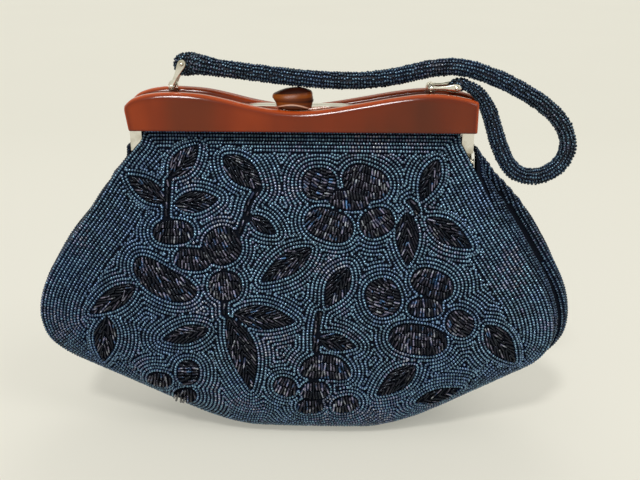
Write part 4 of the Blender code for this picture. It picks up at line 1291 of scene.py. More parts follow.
class RowPlan:
    """Rows of seed beads and lines of bugle beads on a panel, in the panel's own places."""

    COLUMNS = 331
    ROWS = 261
    PIXELS_PER_MM = 2.0
    # Spacing, longest length and width of the bugle beads, in leaves and in the other motifs
    SLIM_BUGLES_MM = (1.16, 5.0, 1.2)
    THICK_BUGLES_MM = (1.4, 3.9, 1.42)

    def __init__(self, shape: BagShape, camera: PhotoCamera) -> None:
        """Lays a fine grid over the front panel and finds each grid point's pixel."""
        self.shape = shape
        self.row_spacing = 1.98 * MM
        self.bead_pitch = 1.52 * MM
        self.motif_gap = 0.15 * MM
        self.echo_beside_edges = 4.1 * MM
        self.side_rows_depth = 25.0 * MM
        self.top_rows_depth = 12.5 * MM
        self.base_rows_depth = 7.0 * MM
        self.across = np.linspace(-1, 1, self.COLUMNS)
        self.down = np.linspace(0, 1 + shape.strip_share, self.ROWS)
        grid_across, grid_down = np.meshgrid(self.across, self.down)
        self.points = shape.panel(grid_across, grid_down, Face.FRONT)
        self.pixels = camera.project(self.points)
        out = shape.panel_out(grid_across, grid_down, Face.FRONT)
        facing = np.einsum("ijk,ijk->ij", out, np.array(camera.place) - self.points) > 0
        self.seen = np.nonzero((facing & (grid_down < 1)).ravel())[0]
        flat = np.pad(self.pixels.reshape(-1, 2), ((0, 0), (0, 1)))
        self.tree = search_tree(flat[self.seen])
        self.per_column = np.gradient(self.pixels, axis=1)
        self.per_row = np.gradient(self.pixels, axis=0)

    def locate(self, pixels: np.ndarray) -> np.ndarray:
        """Finds where pixels lie on the front panel.

        Args:
            pixels: Pixels, across and down.

        Returns:
            Places across and down the panel.
        """
        found = []
        for pixel in np.asarray(pixels, float):
            nearest = self.seen[self.tree.find((*pixel, 0))[1]]
            row, column = divmod(nearest, self.COLUMNS)
            jacobian = np.stack([self.per_column[row, column], self.per_row[row, column]], axis=1)
            step = np.clip(np.linalg.solve(jacobian, pixel - self.pixels[row, column]), -1, 1)
            found.append((column + step[0], row + step[1]))
        columns, rows = np.array(found).T
        return self.to_places(rows, columns)

    def to_places(self, rows: np.ndarray, columns: np.ndarray) -> np.ndarray:
        """Turns grid rows and columns into places across and down the panel."""
        across = np.interp(columns, np.arange(self.COLUMNS), self.across)
        down = np.interp(rows, np.arange(self.ROWS), self.down)
        return np.stack([across, down], axis=-1)

    def distances(self, sources: np.ndarray) -> np.ndarray:
        """The distance of each grid point to the nearest source."""
        tree = search_tree(sources)
        nearest = [tree.find(point)[2] for point in self.points.reshape(-1, 3)]
        return np.array(nearest).reshape(self.points.shape[:2])

    def inside(self, polygon: np.ndarray) -> np.ndarray:
        """Which grid points' pixels lie inside a polygon."""
        x, y = self.pixels[..., 0], self.pixels[..., 1]
        result = np.zeros(x.shape, bool)
        for (x0, y0), (x1, y1) in zip(polygon, np.roll(polygon, -1, axis=0)):
            if y0 != y1:
                crossing = (y0 > y) != (y1 > y)
                result ^= crossing & (x < (x1 - x0) * (y - y0) / (y1 - y0) + x0)
        return result

    def field(self) -> np.ndarray:
        """How far each grid point lies from the motifs and the panel's edges, less than 0 in a motif."""
        outlines = []
        inside = np.zeros(self.points.shape[:2], bool)
        for motif in MOTIFS:
            outline = motif.outline()
            outline = np.concatenate([outline, outline[:1]])
            lengths = running_lengths(outline)
            places = self.locate(read_along(np.arange(0, lengths[-1]), lengths, outline))
            outlines.append(self.shape.panel(places[:, 0], places[:, 1], Face.FRONT))
            inside |= self.inside(motif.outline())
        inside[self.down >= 1] = False
        from_motifs = self.distances(np.concatenate(outlines)) - self.motif_gap
        from_edges = np.full(from_motifs.shape, np.inf)
        straight = np.zeros(from_motifs.shape, bool)
        zones = (
            (np.concatenate([self.points[:, 0], self.points[:, -1]]), self.side_rows_depth),
            (self.points[0], self.top_rows_depth), (self.points[-1], self.base_rows_depth),
        )
        for edge, depth in zones:
            away = self.distances(edge)
            nearer = away < from_edges
            straight = np.where(nearer, away < depth, straight)
            from_edges = np.minimum(away, from_edges)
        straight &= from_motifs > self.echo_beside_edges
        field = np.where(straight, from_edges, np.minimum(from_motifs, from_edges))
        return np.where(inside, -np.abs(from_motifs), field)

    def seed_rows(self, field: np.ndarray) -> list[np.ndarray]:
        """Rows of seed beads as chains of places on the panel, the rows next to a motif or edge first."""
        chains = []
        level = self.row_spacing / 2
        while level < field.max():
            for chain in contour_chains(field, level):
                chains.append(self.to_places(chain[:, 0], chain[:, 1]))
            level += self.row_spacing
        return chains

    def bare_places(self, field: np.ndarray, beads: np.ndarray, reach: float) -> np.ndarray:
        """Grid rows and columns with room for one more bead each.

        Args:
            field: The distance field.
            beads: The beads' points so far.
            reach: How far a new bead stays from every other one.

        Returns:
            Rows and columns of the new beads.
        """
        away = self.distances(beads)
        rows, columns = np.nonzero((away > reach) & (field > self.row_spacing * 0.4))
        order = np.argsort(-away[rows, columns], kind="stable")
        points = self.points[rows[order], columns[order]]
        kept = order[thinned(points, reach)]
        return np.stack([rows[kept], columns[kept]], axis=1)

    def bugles(self) -> tuple[np.ndarray, np.ndarray]:
        """The two ends of every bugle bead as places on the panel, and each one's width."""
        ends, widths = [], []
        for motif in MOTIFS:
            slim = motif.kind is MotifKind.LEAF
            spacing, longest, width = self.SLIM_BUGLES_MM if slim else self.THICK_BUGLES_MM
            lines = motif.bugle_lines(spacing * self.PIXELS_PER_MM, longest * self.PIXELS_PER_MM)
            ends += lines
            widths += [width * MM] * len(lines)
        located = self.locate(np.array(ends).reshape(-1, 2)).reshape(-1, 2, 2)
        return located, np.array(widths)


def contour_chains(field: np.ndarray, level: float) -> list[np.ndarray]:
    """Follows the lines along which a grid of values crosses a level.

    Args:
        field: Values on a grid.
        level: The value to follow.

    Returns:
        Chains of grid rows and columns.
    """
    above = field > level
    across = above[:, 1:] != above[:, :-1]
    down = above[1:, :] != above[:-1, :]
    links = defaultdict(list)
    for i, j in zip(*np.nonzero(across[:-1] | across[1:] | down[:, :-1] | down[:, 1:])):
        first = [("a", i, j)] * across[i, j] + [("d", i, j)] * down[i, j]
        second = [("a", i + 1, j)] * across[i + 1, j] + [("d", i, j + 1)] * down[i, j + 1]
        met = first + second
        for a, b in zip(met[::2], met[1::2]):
            links[a].append(b)
            links[b].append(a)

    def place(edge: tuple) -> tuple[float, float]:
        """Where an edge of the grid is crossed."""
        kind, i, j = edge
        k, m = (i, j + 1) if kind == "a" else (i + 1, j)
        share = (level - field[i, j]) / (field[k, m] - field[i, j])
        return (i + share * (k - i), j + share * (m - j))

    chains = []
    unused = set(links)
    ends = [edge for edge in links if len(links[edge]) == 1]
    for start in ends + list(links):
        if start not in unused:
            continue
        chain = [start]
        unused.discard(start)
        while True:
            onward = [edge for edge in links[chain[-1]] if edge in unused]
            if not onward:
                break
            chain.append(onward[0])
            unused.discard(onward[0])
        if chain[0] in links[chain[-1]] and len(chain) > 2:
            chain.append(chain[0])
        chains.append(np.array([place(edge) for edge in chain]))
    return chains


def spaced(points: np.ndarray, pitch: float) -> tuple[np.ndarray, np.ndarray] | None:
    """Shares of a line's length at which beads of a pitch sit, with the line's running length.

    Args:
        points: The line's points.
        pitch: The distance from bead to bead.

    Returns:
        The beads' lengths along the line and the points' own, or None where no bead fits.
    """
    lengths = running_lengths(points)
    count = round(lengths[-1] / pitch)
    if count < 1:
        return None
    return (np.arange(count) + 0.5) * lengths[-1] / count, lengths


class Embroidery:
    """The beadwork of both panels, from one plan. The leaves' slim bugle beads take lower shades, which
    darken them and give fewer of them a painted highlight.
    """

    SLIM_WIDTH = 1.3 * MM
    LEAF_HIGHLIGHT_RARITY = 2.2

    def __init__(self, shape: BagShape, camera: PhotoCamera) -> None:
        """Plans the rows once."""
        self.shape = shape
        self.plan = RowPlan(shape, camera)
        self.seed_size = np.array([1.46, 1.98, 1.95]) * MM
        self.clear_share = 0.66
        self.fill_share = 0.72
        self.base_share = 0.55
        self.seed_places, self.seed_steps = self.plan_seeds()
        self.bugle_ends, self.bugle_widths = self.plan.bugles()

    def plan_seeds(self) -> tuple[np.ndarray, np.ndarray]:
        """Places beads along each row, leaves out those on another row's and fills the gaps that stay."""
        places, steps, rows = [], [], []
        field = self.plan.field()
        for number, chain in enumerate(self.plan.seed_rows(field)):
            points = self.shape.panel(chain[:, 0], chain[:, 1], Face.FRONT)
            found = spaced(points, self.plan.bead_pitch)
            if found is None:
                continue
            at, lengths = found
            near = self.plan.bead_pitch / 2
            ahead, behind = (read_along(at + step, lengths, chain) for step in (near, -near))
            places.append((ahead + behind) / 2)
            steps.append(ahead - behind)
            rows += [number] * len(at)
        places, steps, rows = np.concatenate(places), np.concatenate(steps), np.array(rows)
        points = self.shape.panel(places[:, 0], places[:, 1], Face.FRONT)
        kept = thinned(points, self.clear_share * self.plan.row_spacing, rows)
        places, steps, points = places[kept], steps[kept], points[kept]
        bare = self.plan.bare_places(field, points, self.fill_share * self.plan.row_spacing)
        fill = self.plan.to_places(bare[:, 0], bare[:, 1])
        tree = search_tree(points)
        near = [tree.find(point)[1] for point in self.plan.points[bare[:, 0], bare[:, 1]]]
        LOG.info("%d seed beads in rows and %d between them", len(places), len(fill))
        return np.concatenate([places, fill]), np.concatenate([steps, steps[near]])

    def seeds(self, face: Face) -> Beads:
        """The seed beads of a panel."""
        mirror = np.array([-face.value, 1])
        places, half_steps = self.seed_places * mirror, self.seed_steps * mirror / 2
        inset = self.seed_size[2] / 2
        ahead, behind, centres = (
            self.shape.layer(*(places + step).T, face, inset) for step in (half_steps, -half_steps, 0)
        )
        centres[:, 2] = np.maximum(centres[:, 2], self.seed_size[2] * self.base_share)
        outward = self.shape.panel_out(*places.T, face)
        return Beads.varied(
            (centres, unit(ahead - behind), outward), self.seed_size, (0.9, 1.07), (0.18, 0.93)
        )

    def bugles(self, face: Face) -> Beads:
        """The bugle beads of a panel."""
        ends = self.bugle_ends * np.array([-face.value, 1])
        first, last = (self.shape.panel(*ends[:, end].T, face) for end in (0, 1))
        middle = ends.mean(axis=1).T
        lengths = np.linalg.norm(last - first, axis=1) * 0.98
        widths = self.bugle_widths * RANDOM.uniform(0.92, 1.06, len(lengths))
        sizes = np.stack([lengths, widths, widths], axis=1)
        outward = self.shape.panel_out(*middle, face)
        inset = RANDOM.uniform(0.1, 0.75, len(lengths))[:, None] * MM
        centres = self.shape.panel(*middle, face) - inset * outward
        centres[:, 2] = np.maximum(centres[:, 2], widths)
        # Lower shades for the leaves' bugles: a darker tone and fewer painted highlights
        highlight_rarity = np.where(self.bugle_widths < self.SLIM_WIDTH, self.LEAF_HIGHLIGHT_RARITY, 1.0)
        shades = RANDOM.uniform(0, 1, len(lengths)) ** highlight_rarity
        return Beads(centres, unit(last - first), outward, sizes, shades)


@dataclass
class Workshop:
    """What every sub-assembly uses: the bag's shape, the finishes and the bead tools."""

    shape: BagShape
    finishes: dict[str, Material]
    stringer: BeadStringer
    seed: Piece
    bugle: Piece
    bend_low: float = 0.134
    bend_high: float = 0.165
    left_bend: tuple = ((-0.022, 0.0), (-0.0635, 0.0))
    right_bend: tuple = ((0.0915, 0.0163), (0.0835, 0.0219))

    def bend_with_frame(self, obj: Piece, face: Face) -> None:
        """Bakes the placement of a piece of cloth or beads into its mesh."""
        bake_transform(obj)

    def bend_with_bail(self, obj: Piece, side: Side) -> None:
        """Bakes the placement of an end of the rope into its mesh, and works out the start and end of its
        bend without using them.

        Args:
            obj: The piece of rope.
            side: The end, whose bend has the x and z of its start and end.
        """
        bend = self.left_bend if side is Side.LEFT else self.right_bend
        start, end = ((x + self.shape.shift, 0, z + self.shape.height) for x, z in bend)
        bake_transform(obj)
        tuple(start)
        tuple(end)

    def sew(self, name: str, beads: Beads, kind: str = "seed") -> Piece:
        """Makes a piece of seed or bugle beads in their own glass."""
        form = self.seed if kind == "seed" else self.bugle
        return self.stringer.sew(name, beads, form, self.finishes[kind])


@dataclass
class Panels:
    """Both beaded panels: cloth, seed beads in rows and bugle bead motifs."""

    shop: Workshop
    cloth_inset: float = 1.25 * MM
    cloth_thickness: float = 0.4 * MM
    columns: int = 81
    rows: int = 91
    bead_groups: int = 3

    def cloth(self, face: Face) -> Piece:
        """Builds the cloth of a panel, from the tuck in the channel to the seam under the base."""
        shape = self.shop.shape
        across, down = np.meshgrid(
            np.linspace(-1, 1, self.columns), np.linspace(0, 1 + shape.strip_share, self.rows)
        )
        outer = shape.layer(across, down, face, self.cloth_inset)
        inner = shape.layer(across, down, face, self.cloth_inset + self.cloth_thickness)
        tucked = []
        for layer in (outer, inner):
            top = layer[:1].copy()
            top[..., 2] = shape.height + shape.tuck
            layer[..., 2] = np.maximum(layer[..., 2], self.cloth_inset / 2)
            tucked.append(np.concatenate([top, layer]))
        obj = closed_sheet(f"{face.name.lower()}_cloth", tucked[0], tucked[1], self.shop.finishes["cloth"])
        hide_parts(PANEL_NODE[face])
        self.shop.bend_with_frame(obj, face)
        return obj

    def build(self, work: Embroidery) -> None:
        """Builds both panels."""
        for face in Face:
            self.cloth(face)
            seeds = work.seeds(face)
            label = face.name.lower()
            order = np.argsort(-seeds.centres[:, 2], kind="stable")
            pieces = [
                self.shop.sew(f"{label}_seed_beads_{number}", seeds.part(chosen))
                for number, chosen in enumerate(np.array_split(order, self.bead_groups), 1)
            ]
            pieces.append(self.shop.sew(f"{label}_bugle_beads", work.bugles(face), "bugle"))
            for obj in pieces:
                self.shop.bend_with_frame(obj, face)


@dataclass
class Gusset:
    """A pleated gusset of cloth with lengthwise rows of seed beads, in a front and a rear half."""

    shop: Workshop
    side: Side
    bulge: float
    pleats: int = 3
    pleat_depth: float = 3.2 * MM
    pleat_sharpness: float = 3.0
    bare_fold: float = 0.75
    first_row: int = 1
    row_spacing: float = 2.05 * MM
    bead_pitch: float = 1.5 * MM
    bead_reach: float = 0.7 * MM
    bead_size: tuple = (1.42 * MM, 1.9 * MM, 1.9 * MM)
    start: float = 0.048
    end: float = 0.95
    cloth_inset: float = 1.0 * MM
    cloth_thickness: float = 0.35 * MM
    stations: int = 120
    columns: int = 61

    def grid(self) -> tuple[np.ndarray, np.ndarray]:
        """Places across and down the gusset."""
        return np.meshgrid(np.linspace(-1, 1, self.columns), np.linspace(self.start, self.end, self.stations))

    def folds(self) -> np.ndarray:
        """How deep the pleats fold in on the grid, from 0 to 1."""
        across, down = self.grid()
        fade = np.minimum(1, (1 - np.abs(across)) * 6) * np.minimum(1, (self.end - down) * 4)
        fade = fade * np.minimum(1, 0.3 + (down - self.start) * 6)
        waves = (0.5 - 0.5 * np.cos(math.pi * self.pleats * (across + 1))) ** self.pleat_sharpness
        return fade * waves

    def surface(self, inset: float) -> np.ndarray:
        """The pleated surface at an inset, as a grid from top to bottom and front to rear."""
        points = self.shop.shape.gusset(*self.grid(), self.side, self.bulge)
        along = np.gradient(points, axis=1)
        length = np.gradient(points, axis=0)
        out = unit(np.cross(along, length)) * -self.side.value
        return points - (inset + self.pleat_depth * self.folds())[..., None] * out

    def rows(self, surface: np.ndarray) -> list[np.ndarray]:
        """Lengthwise rows at even distances from the two edges, each point with its outward direction."""
        spacing = self.row_spacing
        steps = np.linalg.norm(np.diff(surface[..., :3], axis=1), axis=2)
        reach = np.concatenate([np.zeros((len(surface), 1)), np.cumsum(steps, axis=1)], axis=1)
        rows = []
        for edge in (-1, 1):
            for number in range(self.first_row, int(reach.max() / spacing / 2) + 1):
                away = (number + 0.5) * spacing
                chain = []
                for place, points in zip(reach, surface):
                    if away < place[-1] / 2 - 0.3 * spacing or (edge < 0 and away <= place[-1] / 2):
                        at = away if edge < 0 else place[-1] - away
                        chain.append([np.interp(at, place, points[:, k]) for k in range(7)])
                if len(chain) > 2:
                    rows.append(np.array(chain))
        return rows

    def beads(self) -> Beads:
        """The gusset's seed beads, none in the depth of a fold, in darker shades as painted shade."""
        surface = self.surface(self.bead_size[2] / 2)
        facing = np.cross(np.gradient(surface, axis=1), np.gradient(surface, axis=0)) * -self.side.value
        placed = []
        for row in self.rows(np.concatenate([surface, unit(facing), self.folds()[..., None]], axis=2)):
            found = spaced(row[:, :3], self.bead_pitch)
            if found is None:
                continue
            at, lengths = found
            at = at[np.interp(at, lengths, row[:, 6]) < self.bare_fold]
            steps = (self.bead_reach, -self.bead_reach)
            ahead, behind = (read_along(at + step, lengths, row[:, :6]) for step in steps)
            middle = ahead + behind
            placed.append((middle[:, :3] / 2, unit((ahead - behind)[:, :3]), unit(middle[:, 3:])))
        places = [np.concatenate(values) for values in zip(*placed)]
        # Painted shade: the gusset's beads take darker shades, as this side faces away from the light
        return Beads.varied(places, np.array(self.bead_size), (0.9, 1.06), (0.0, 0.5))

    def build(self) -> None:
        """Builds both halves, each with its cloth and its beads."""
        label = self.side.name.lower()
        outer = self.surface(self.cloth_inset)
        inner = self.surface(self.cloth_inset + self.cloth_thickness)
        middle = self.columns // 2
        beads = self.beads()
        for face, columns in ((Face.FRONT, slice(0, middle + 1)), (Face.REAR, slice(middle, None))):
            half = face.name.lower()
            finish = self.shop.finishes["cloth"]
            cloth = closed_sheet(f"gusset_{label}_{half}_cloth", outer[:, columns], inner[:, columns], finish)
            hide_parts(f"gusset_{label}")
            chosen = np.nonzero(beads.centres[:, 1] * face.value > 0)[0]
            sewn = self.shop.sew(f"gusset_{label}_{half}_beads", beads.part(chosen))
            for obj in (cloth, sewn):
                self.shop.bend_with_frame(obj, face)


@dataclass
class Lining:
    """The satin lining in a front and a rear half, with a pocket on the rear one."""

    shop: Workshop
    inset: float = 2.7 * MM
    thickness: float = 0.4 * MM
    gather: float = 0.35 * MM
    gathers: int = 26
    seam_gap: float = 0.3 * MM
    top: float = 0.045
    bottom: float = 0.965
    columns: int = 121
    rows: int = 60
    pocket_half_width: float = 0.28
    pocket_top: float = 0.3
    pocket_height: float = 0.3
    pocket_gap: float = 0.9 * MM
    pocket_belly: float = 0.8 * MM
    pocket_thickness: float = 0.5 * MM
    top_hem: float = 0.35 * MM
    side_hem: float = 0.25 * MM

    def wall(self, face: Face, inset: float) -> np.ndarray:
        """A grid of the lining's wall, with gathers that fade towards the base."""
        across, down = np.meshgrid(
            np.linspace(-1, 1, self.columns), np.linspace(self.top, self.bottom, self.rows)
        )
        spread = across * read_table(LINING_WIDTH_SHARES, down)
        points = self.shop.shape.layer(spread, down, face, inset)
        waves = np.sin(across * self.gathers * math.pi) * self.gather * (1 - down) ** 1.5
        points[..., 1] -= face.value * (waves + self.gather)
        return points

    def half(self, face: Face, inset: float) -> np.ndarray:
        """The wall with its sides and floor brought to the middle plane."""
        wall = self.wall(face, inset)
        closing = wall.copy()
        closing[..., 1] = face.value * self.seam_gap / 2
        body = np.concatenate([closing[:, :1], wall, closing[:, -1:]], axis=1)
        floor = body[-1:].copy()
        floor[..., 1] = face.value * self.seam_gap / 2
        return np.concatenate([body, floor])

    def build(self) -> None:
        """Builds the lining's halves and its pocket."""
        satin = self.shop.finishes["satin"]
        for face in Face:
            outer = self.half(face, self.inset)
            inner = self.half(face, self.inset + self.thickness)
            inner[:, 0, 0] += self.thickness
            inner[:, -1, 0] -= self.thickness
            inner[-1, :, 2] += self.thickness
            obj = closed_sheet(f"lining_{face.name.lower()}", outer, inner, satin)
            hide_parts("lining")
            self.shop.bend_with_frame(obj, face)
        self.pocket(satin)

    def pocket(self, satin: Material) -> None:
        """Builds the patch pocket with its turned hem."""
        wide, deep = np.meshgrid(np.linspace(-1, 1, 49), np.linspace(0, 1, 41))
        shape = self.shop.shape
        across, down = wide * self.pocket_half_width, self.pocket_top + deep * self.pocket_height
        spread = across * read_table(LINING_WIDTH_SHARES, down)
        base = self.inset + self.thickness + self.pocket_gap
        hem = self.top_hem * (deep < 0.08) + self.side_hem * ((np.abs(wide) > 0.955) | (deep > 0.965))
        belly = self.pocket_belly * np.cos(wide * math.pi / 2) * np.sin(deep * math.pi)
        push = shape.panel_out(spread, down, Face.REAR)
        outer = shape.panel(spread, down, Face.REAR) - (base + belly)[..., None] * push
        inner = outer - (self.pocket_thickness + hem)[..., None] * push
        obj = closed_sheet("pocket_patch", outer, inner, satin)
        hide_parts("lining_pocket")
        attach(obj, "bag_body")


def arc(depth: float, height: float, radius: float, degrees: Sequence[float]) -> list[tuple]:
    """Points of an arc round a centre, each as depth and height."""
    turns = np.radians(degrees)
    return list(zip(depth + radius * np.cos(turns), height + radius * np.sin(turns)))


@dataclass
class Bar:
    """A moulded tortoiseshell bar with a wavy top, rounded along its outer edges."""

    shop: Workshop
    face: Face
    length: float = 0.178
    hump: float = 0.0193
    back: float = 0.0046
    depth: float = 0.008
    slant: float = 0.0018
    top_radius: float = 3.2 * MM
    bottom_radius: float = 0.9 * MM
    back_radius: float = 2.6 * MM
    end_radius: float = 1.7 * MM
    stations: int = 161
    front_rows: int = 9
    rim_reach: float = 1.7 * MM
    foot_shade_reach: float = 0.7 * MM

    def section(self, height: float, depth: float) -> np.ndarray:
        """The outline across the bar as depth and height, from its lower back corner."""
        low, top, back = self.bottom_radius, self.top_radius, self.back_radius
        front = np.linspace(low, height - top, self.front_rows + 2)[1:-1]
        return np.array([
            (0.0, 0.0),
            *arc(depth - low, low, low, (-90, -60, -30, 0)),
            *((depth, place) for place in front),
            *arc(depth - top, height - top, top, np.linspace(0, 90, 8)),
            *arc(back, height - back, back, (90, 120, 150, 180)),
            (0.0, height / 2),
        ])

    def build(self) -> None:
        """Builds the bar with its rim mask, for the clearer amber edges, partly a painted glow of light, and
        the painted shade on the rounding below them, and a mask for the painted shade along its lower edge.
        """
        shape = self.shop.shape
        places = -np.cos(np.linspace(0, math.pi, self.stations))
        half = self.length / 2
        rings, rims, foot_shades = [], [], []
        for place in places:
            height = float(read_table(BAR_TOP_SHARES, np.array(place))) * self.hump
            to_end = (1 - abs(place)) * half
            recess = 0.0
            if to_end < self.end_radius:
                recess = self.end_radius - math.sqrt(self.end_radius**2 - (self.end_radius - to_end) ** 2)
            section = self.section(height, self.depth - recess)
            slanting = self.slant * max(-place, 0) ** 12
            x = place * half + slanting * np.clip(1 - section[:, 1] / (0.64 * self.hump), 0, 1) + shape.shift
            y = self.face.value * (self.back + section[:, 0])
            rings.append(np.stack([x, y, shape.height + section[:, 1]], axis=1))
            # Rim mask near the top edge and the ends, for the amber glow and the painted shade below it
            near = np.minimum(height - section[:, 1], to_end)
            rims.append(np.exp(-np.maximum(near, 0) / self.rim_reach))
            # Mask for the painted shade along the lower edge
            foot_shades.append(np.exp(-section[:, 1] / self.foot_shade_reach))
        label = "front" if self.face is Face.FRONT else "rear"
        obj = closed_tube(f"{label}_bar_moulding", np.array(rings), self.shop.finishes["tortoise"])
        store(obj.data, "rim", np.array(rims))
        store(obj.data, "foot", np.array(foot_shades))
        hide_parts(f"{label}_bar")
        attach(obj, FRAME_BODY[self.face])


@dataclass
class Knob:
    """The oval clasp knob: a domed top, a bowed body, and a lip that hangs down in front of the metal.

    Each ring has its height above the underside, its half length, its reaches to the front and the
    rear, and how much of the lip's drop it takes, in millimetres but for the last.
    """

    shop: Workshop
    sides: int = 96
    lip_drop: float = 2.9 * MM
    lip_start: float = 0.35
    squareness: float = 0.8
    painted_top_shade_from: float = 4.8 * MM
    rings_mm: tuple = (
        (0.0, 0.1, 0.1, 0.1, 0.0), (0.0, 8.9, 6.75, 4.4, 0.0), (0.0, 9.0, 6.8, 4.5, 1.0),
        (0.1, 9.3, 8.2, 4.9, 1.0), (0.45, 9.6, 8.6, 5.1, 0.95), (0.9, 9.75, 8.5, 5.2, 0.8),
        (1.15, 9.7, 8.1, 5.2, 0.66), (1.35, 9.8, 7.8, 5.2, 0.5), (1.8, 10.1, 7.6, 5.3, 0.3),
        (2.5, 10.25, 7.2, 5.4, 0.12), (3.3, 10.25, 6.7, 5.4, 0.0), (4.0, 10.1, 6.2, 5.3, 0.0),
        (4.5, 9.8, 5.8, 5.1, 0.0), (4.85, 9.3, 5.4, 4.8, 0.0), (5.3, 8.3, 4.8, 4.3, 0.0),
        (6.1, 6.4, 3.7, 3.3, 0.0), (6.8, 3.9, 2.3, 2.0, 0.0), (7.05, 0.1, 0.1, 0.1, 0.0),
    )
    top_tilt: float = 0.11
    base_shift: float = 1.5 * MM
    shifted_below: float = 2.5 * MM
    arch_rise: float = -0.45 * MM
    arch_fall: float = 2.4 * MM
    arch_reach: float = 9.5 * MM

    def build(self) -> None:
        """Builds the knob on the place of its CAD node, its base a little to the right of its top."""
        low, high = (np.array(corner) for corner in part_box("clasp_knob"))
        middle = (low + high) / 2
        angles = np.linspace(0, 2 * math.pi, self.sides, endpoint=False)
        cosines, sines = np.cos(angles), np.sin(angles)
        wide = np.sign(cosines) * np.abs(cosines) ** self.squareness
        deep = np.sign(sines) * np.abs(sines) ** self.squareness
        drop = np.clip((-deep - self.lip_start) / (1 - self.lip_start) * 2.5, 0, 1)
        drop = drop * drop * (3 - 2 * drop)
        rings, rims, arches = [], [], []
        for height, length, front, rear, share in np.array(self.rings_mm):
            x = middle[0] + length * MM * wide
            y = middle[1] + np.where(deep < 0, front, rear) * MM * deep
            z = low[2] + height * MM - share * self.lip_drop * drop
            z = z + self.top_tilt * (x - middle[0]) * height / self.rings_mm[-1][0]
            x = x + self.base_shift * max(1 - height * MM / self.shifted_below, 0)
            rings.append(np.stack([x, y, z], axis=1))
            # Mask of the knob's top, which the finish darkens as painted shade
            rims.append(np.full(self.sides, float(height * MM > self.painted_top_shade_from)))
            # Height above the arched line, where the finish paints a highlight with painted shadow below
            line = low[2] + self.arch_rise - self.arch_fall * ((x - middle[0]) / self.arch_reach) ** 2
            arches.append(np.where(deep < 0, (z - line) / MM, self.arch_reach / MM))
        obj = closed_tube("knob_moulding", np.array(rings), self.shop.finishes["knob"])
        store(obj.data, "rim", np.array(rims))
        store(obj.data, "arch", np.array(arches))
        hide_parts("clasp_knob")
        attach(obj, "clasp")


@dataclass
class Bail:
    """A wire bail: two straps with ball ends, and a crossbar with a bright head at each end."""

    shop: Workshop
    side: Side
    tilt: float
    post_x: float = 0.0657
    pivot_y: float = 0.0023
    pivot_rise: float = 0.0211
    length: float = 0.0128
    leg_spread: float = 0.0052
    leg_thickness: float = 0.6 * MM
    crossbar: float = 0.8 * MM
    axle: float = 0.55 * MM
    ball: float = 1.5 * MM
    head: float = 1.15 * MM
    leg_widths_mm: tuple = (
        (0.0, 1.0), (0.1, 1.1), (0.3, 1.0), (0.5, 1.15), (0.7, 1.55), (0.85, 1.9), (0.97, 2.05), (1.07, 1.85),
        (1.14, 1.25), (1.175, 0.35),
    )

    def place(self, across: float, along: float) -> np.ndarray:
        """A point of the bail from its place across and along it."""
        shape = self.shop.shape
        x, z = self.side.value * self.post_x + shape.shift, shape.height + self.pivot_rise
        pivot = np.array([x, self.pivot_y, z])
        return pivot + np.array([math.sin(self.tilt) * along, across, math.cos(self.tilt) * along])

    def build(self) -> None:
        """Builds the bail: two waisted straps, its axle, its crossbar and their heads."""
        metal = self.shop.finishes["silver"]
        label = self.side.name.lower()
        parts = []
        lean = np.array([math.cos(self.tilt), 0, -math.sin(self.tilt)])
        up = np.array([math.sin(self.tilt), 0, math.cos(self.tilt)])
        thick = np.array([0, self.leg_thickness, 0])
        for sign in (-1, 1):
            rings = []
            for share in np.linspace(0, self.leg_widths_mm[-1][0], 24):
                width = float(read_table(self.leg_widths_mm, np.array(share))) * MM
                centre = self.place(sign * self.leg_spread, share * self.length)
                rings.append(centre + ring_round(np.zeros(3), lean * width, thick, 1.0, 18))
            parts.append(closed_tube(f"{label}_leg", np.array(rings), metal))
            parts.append(ball_piece(f"{label}_ball", self.place(sign * self.leg_spread, 0), self.ball, metal))
            end = self.place(sign * (self.leg_spread + self.leg_thickness * 0.8), self.length)
            parts.append(ball_piece(f"{label}_head", end, self.head, metal))
        for along, radius in ((0, self.axle), (self.length, self.crossbar)):
            ends = [self.place(sign * self.leg_spread, along) for sign in (-1, 1)]
            bar = [ring_round(end, lean, up, radius, 16) for end in ends]
            parts.append(closed_tube(f"{label}_rod_{along}", np.array(bar), metal))
        obj = joined(f"{label}_bail_straps", parts)
        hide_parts(f"bail_{label}", f"bail_pin_{label}")
        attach(obj, f"{label}_bail")


def ball_piece(name: str, centre: np.ndarray, radius: float, finish: Material) -> Piece:
    """A round ball of 18 segments, closed at its poles."""
    editor = bmesh.new()
    place = Matrix.Translation(centre)
    bmesh.ops.create_uvsphere(editor, u_segments=18, v_segments=12, radius=radius, matrix=place)
    mesh = bpy.data.meshes.new(name)
    editor.to_mesh(mesh)
    editor.free()
    return add_piece(name, mesh, finish)


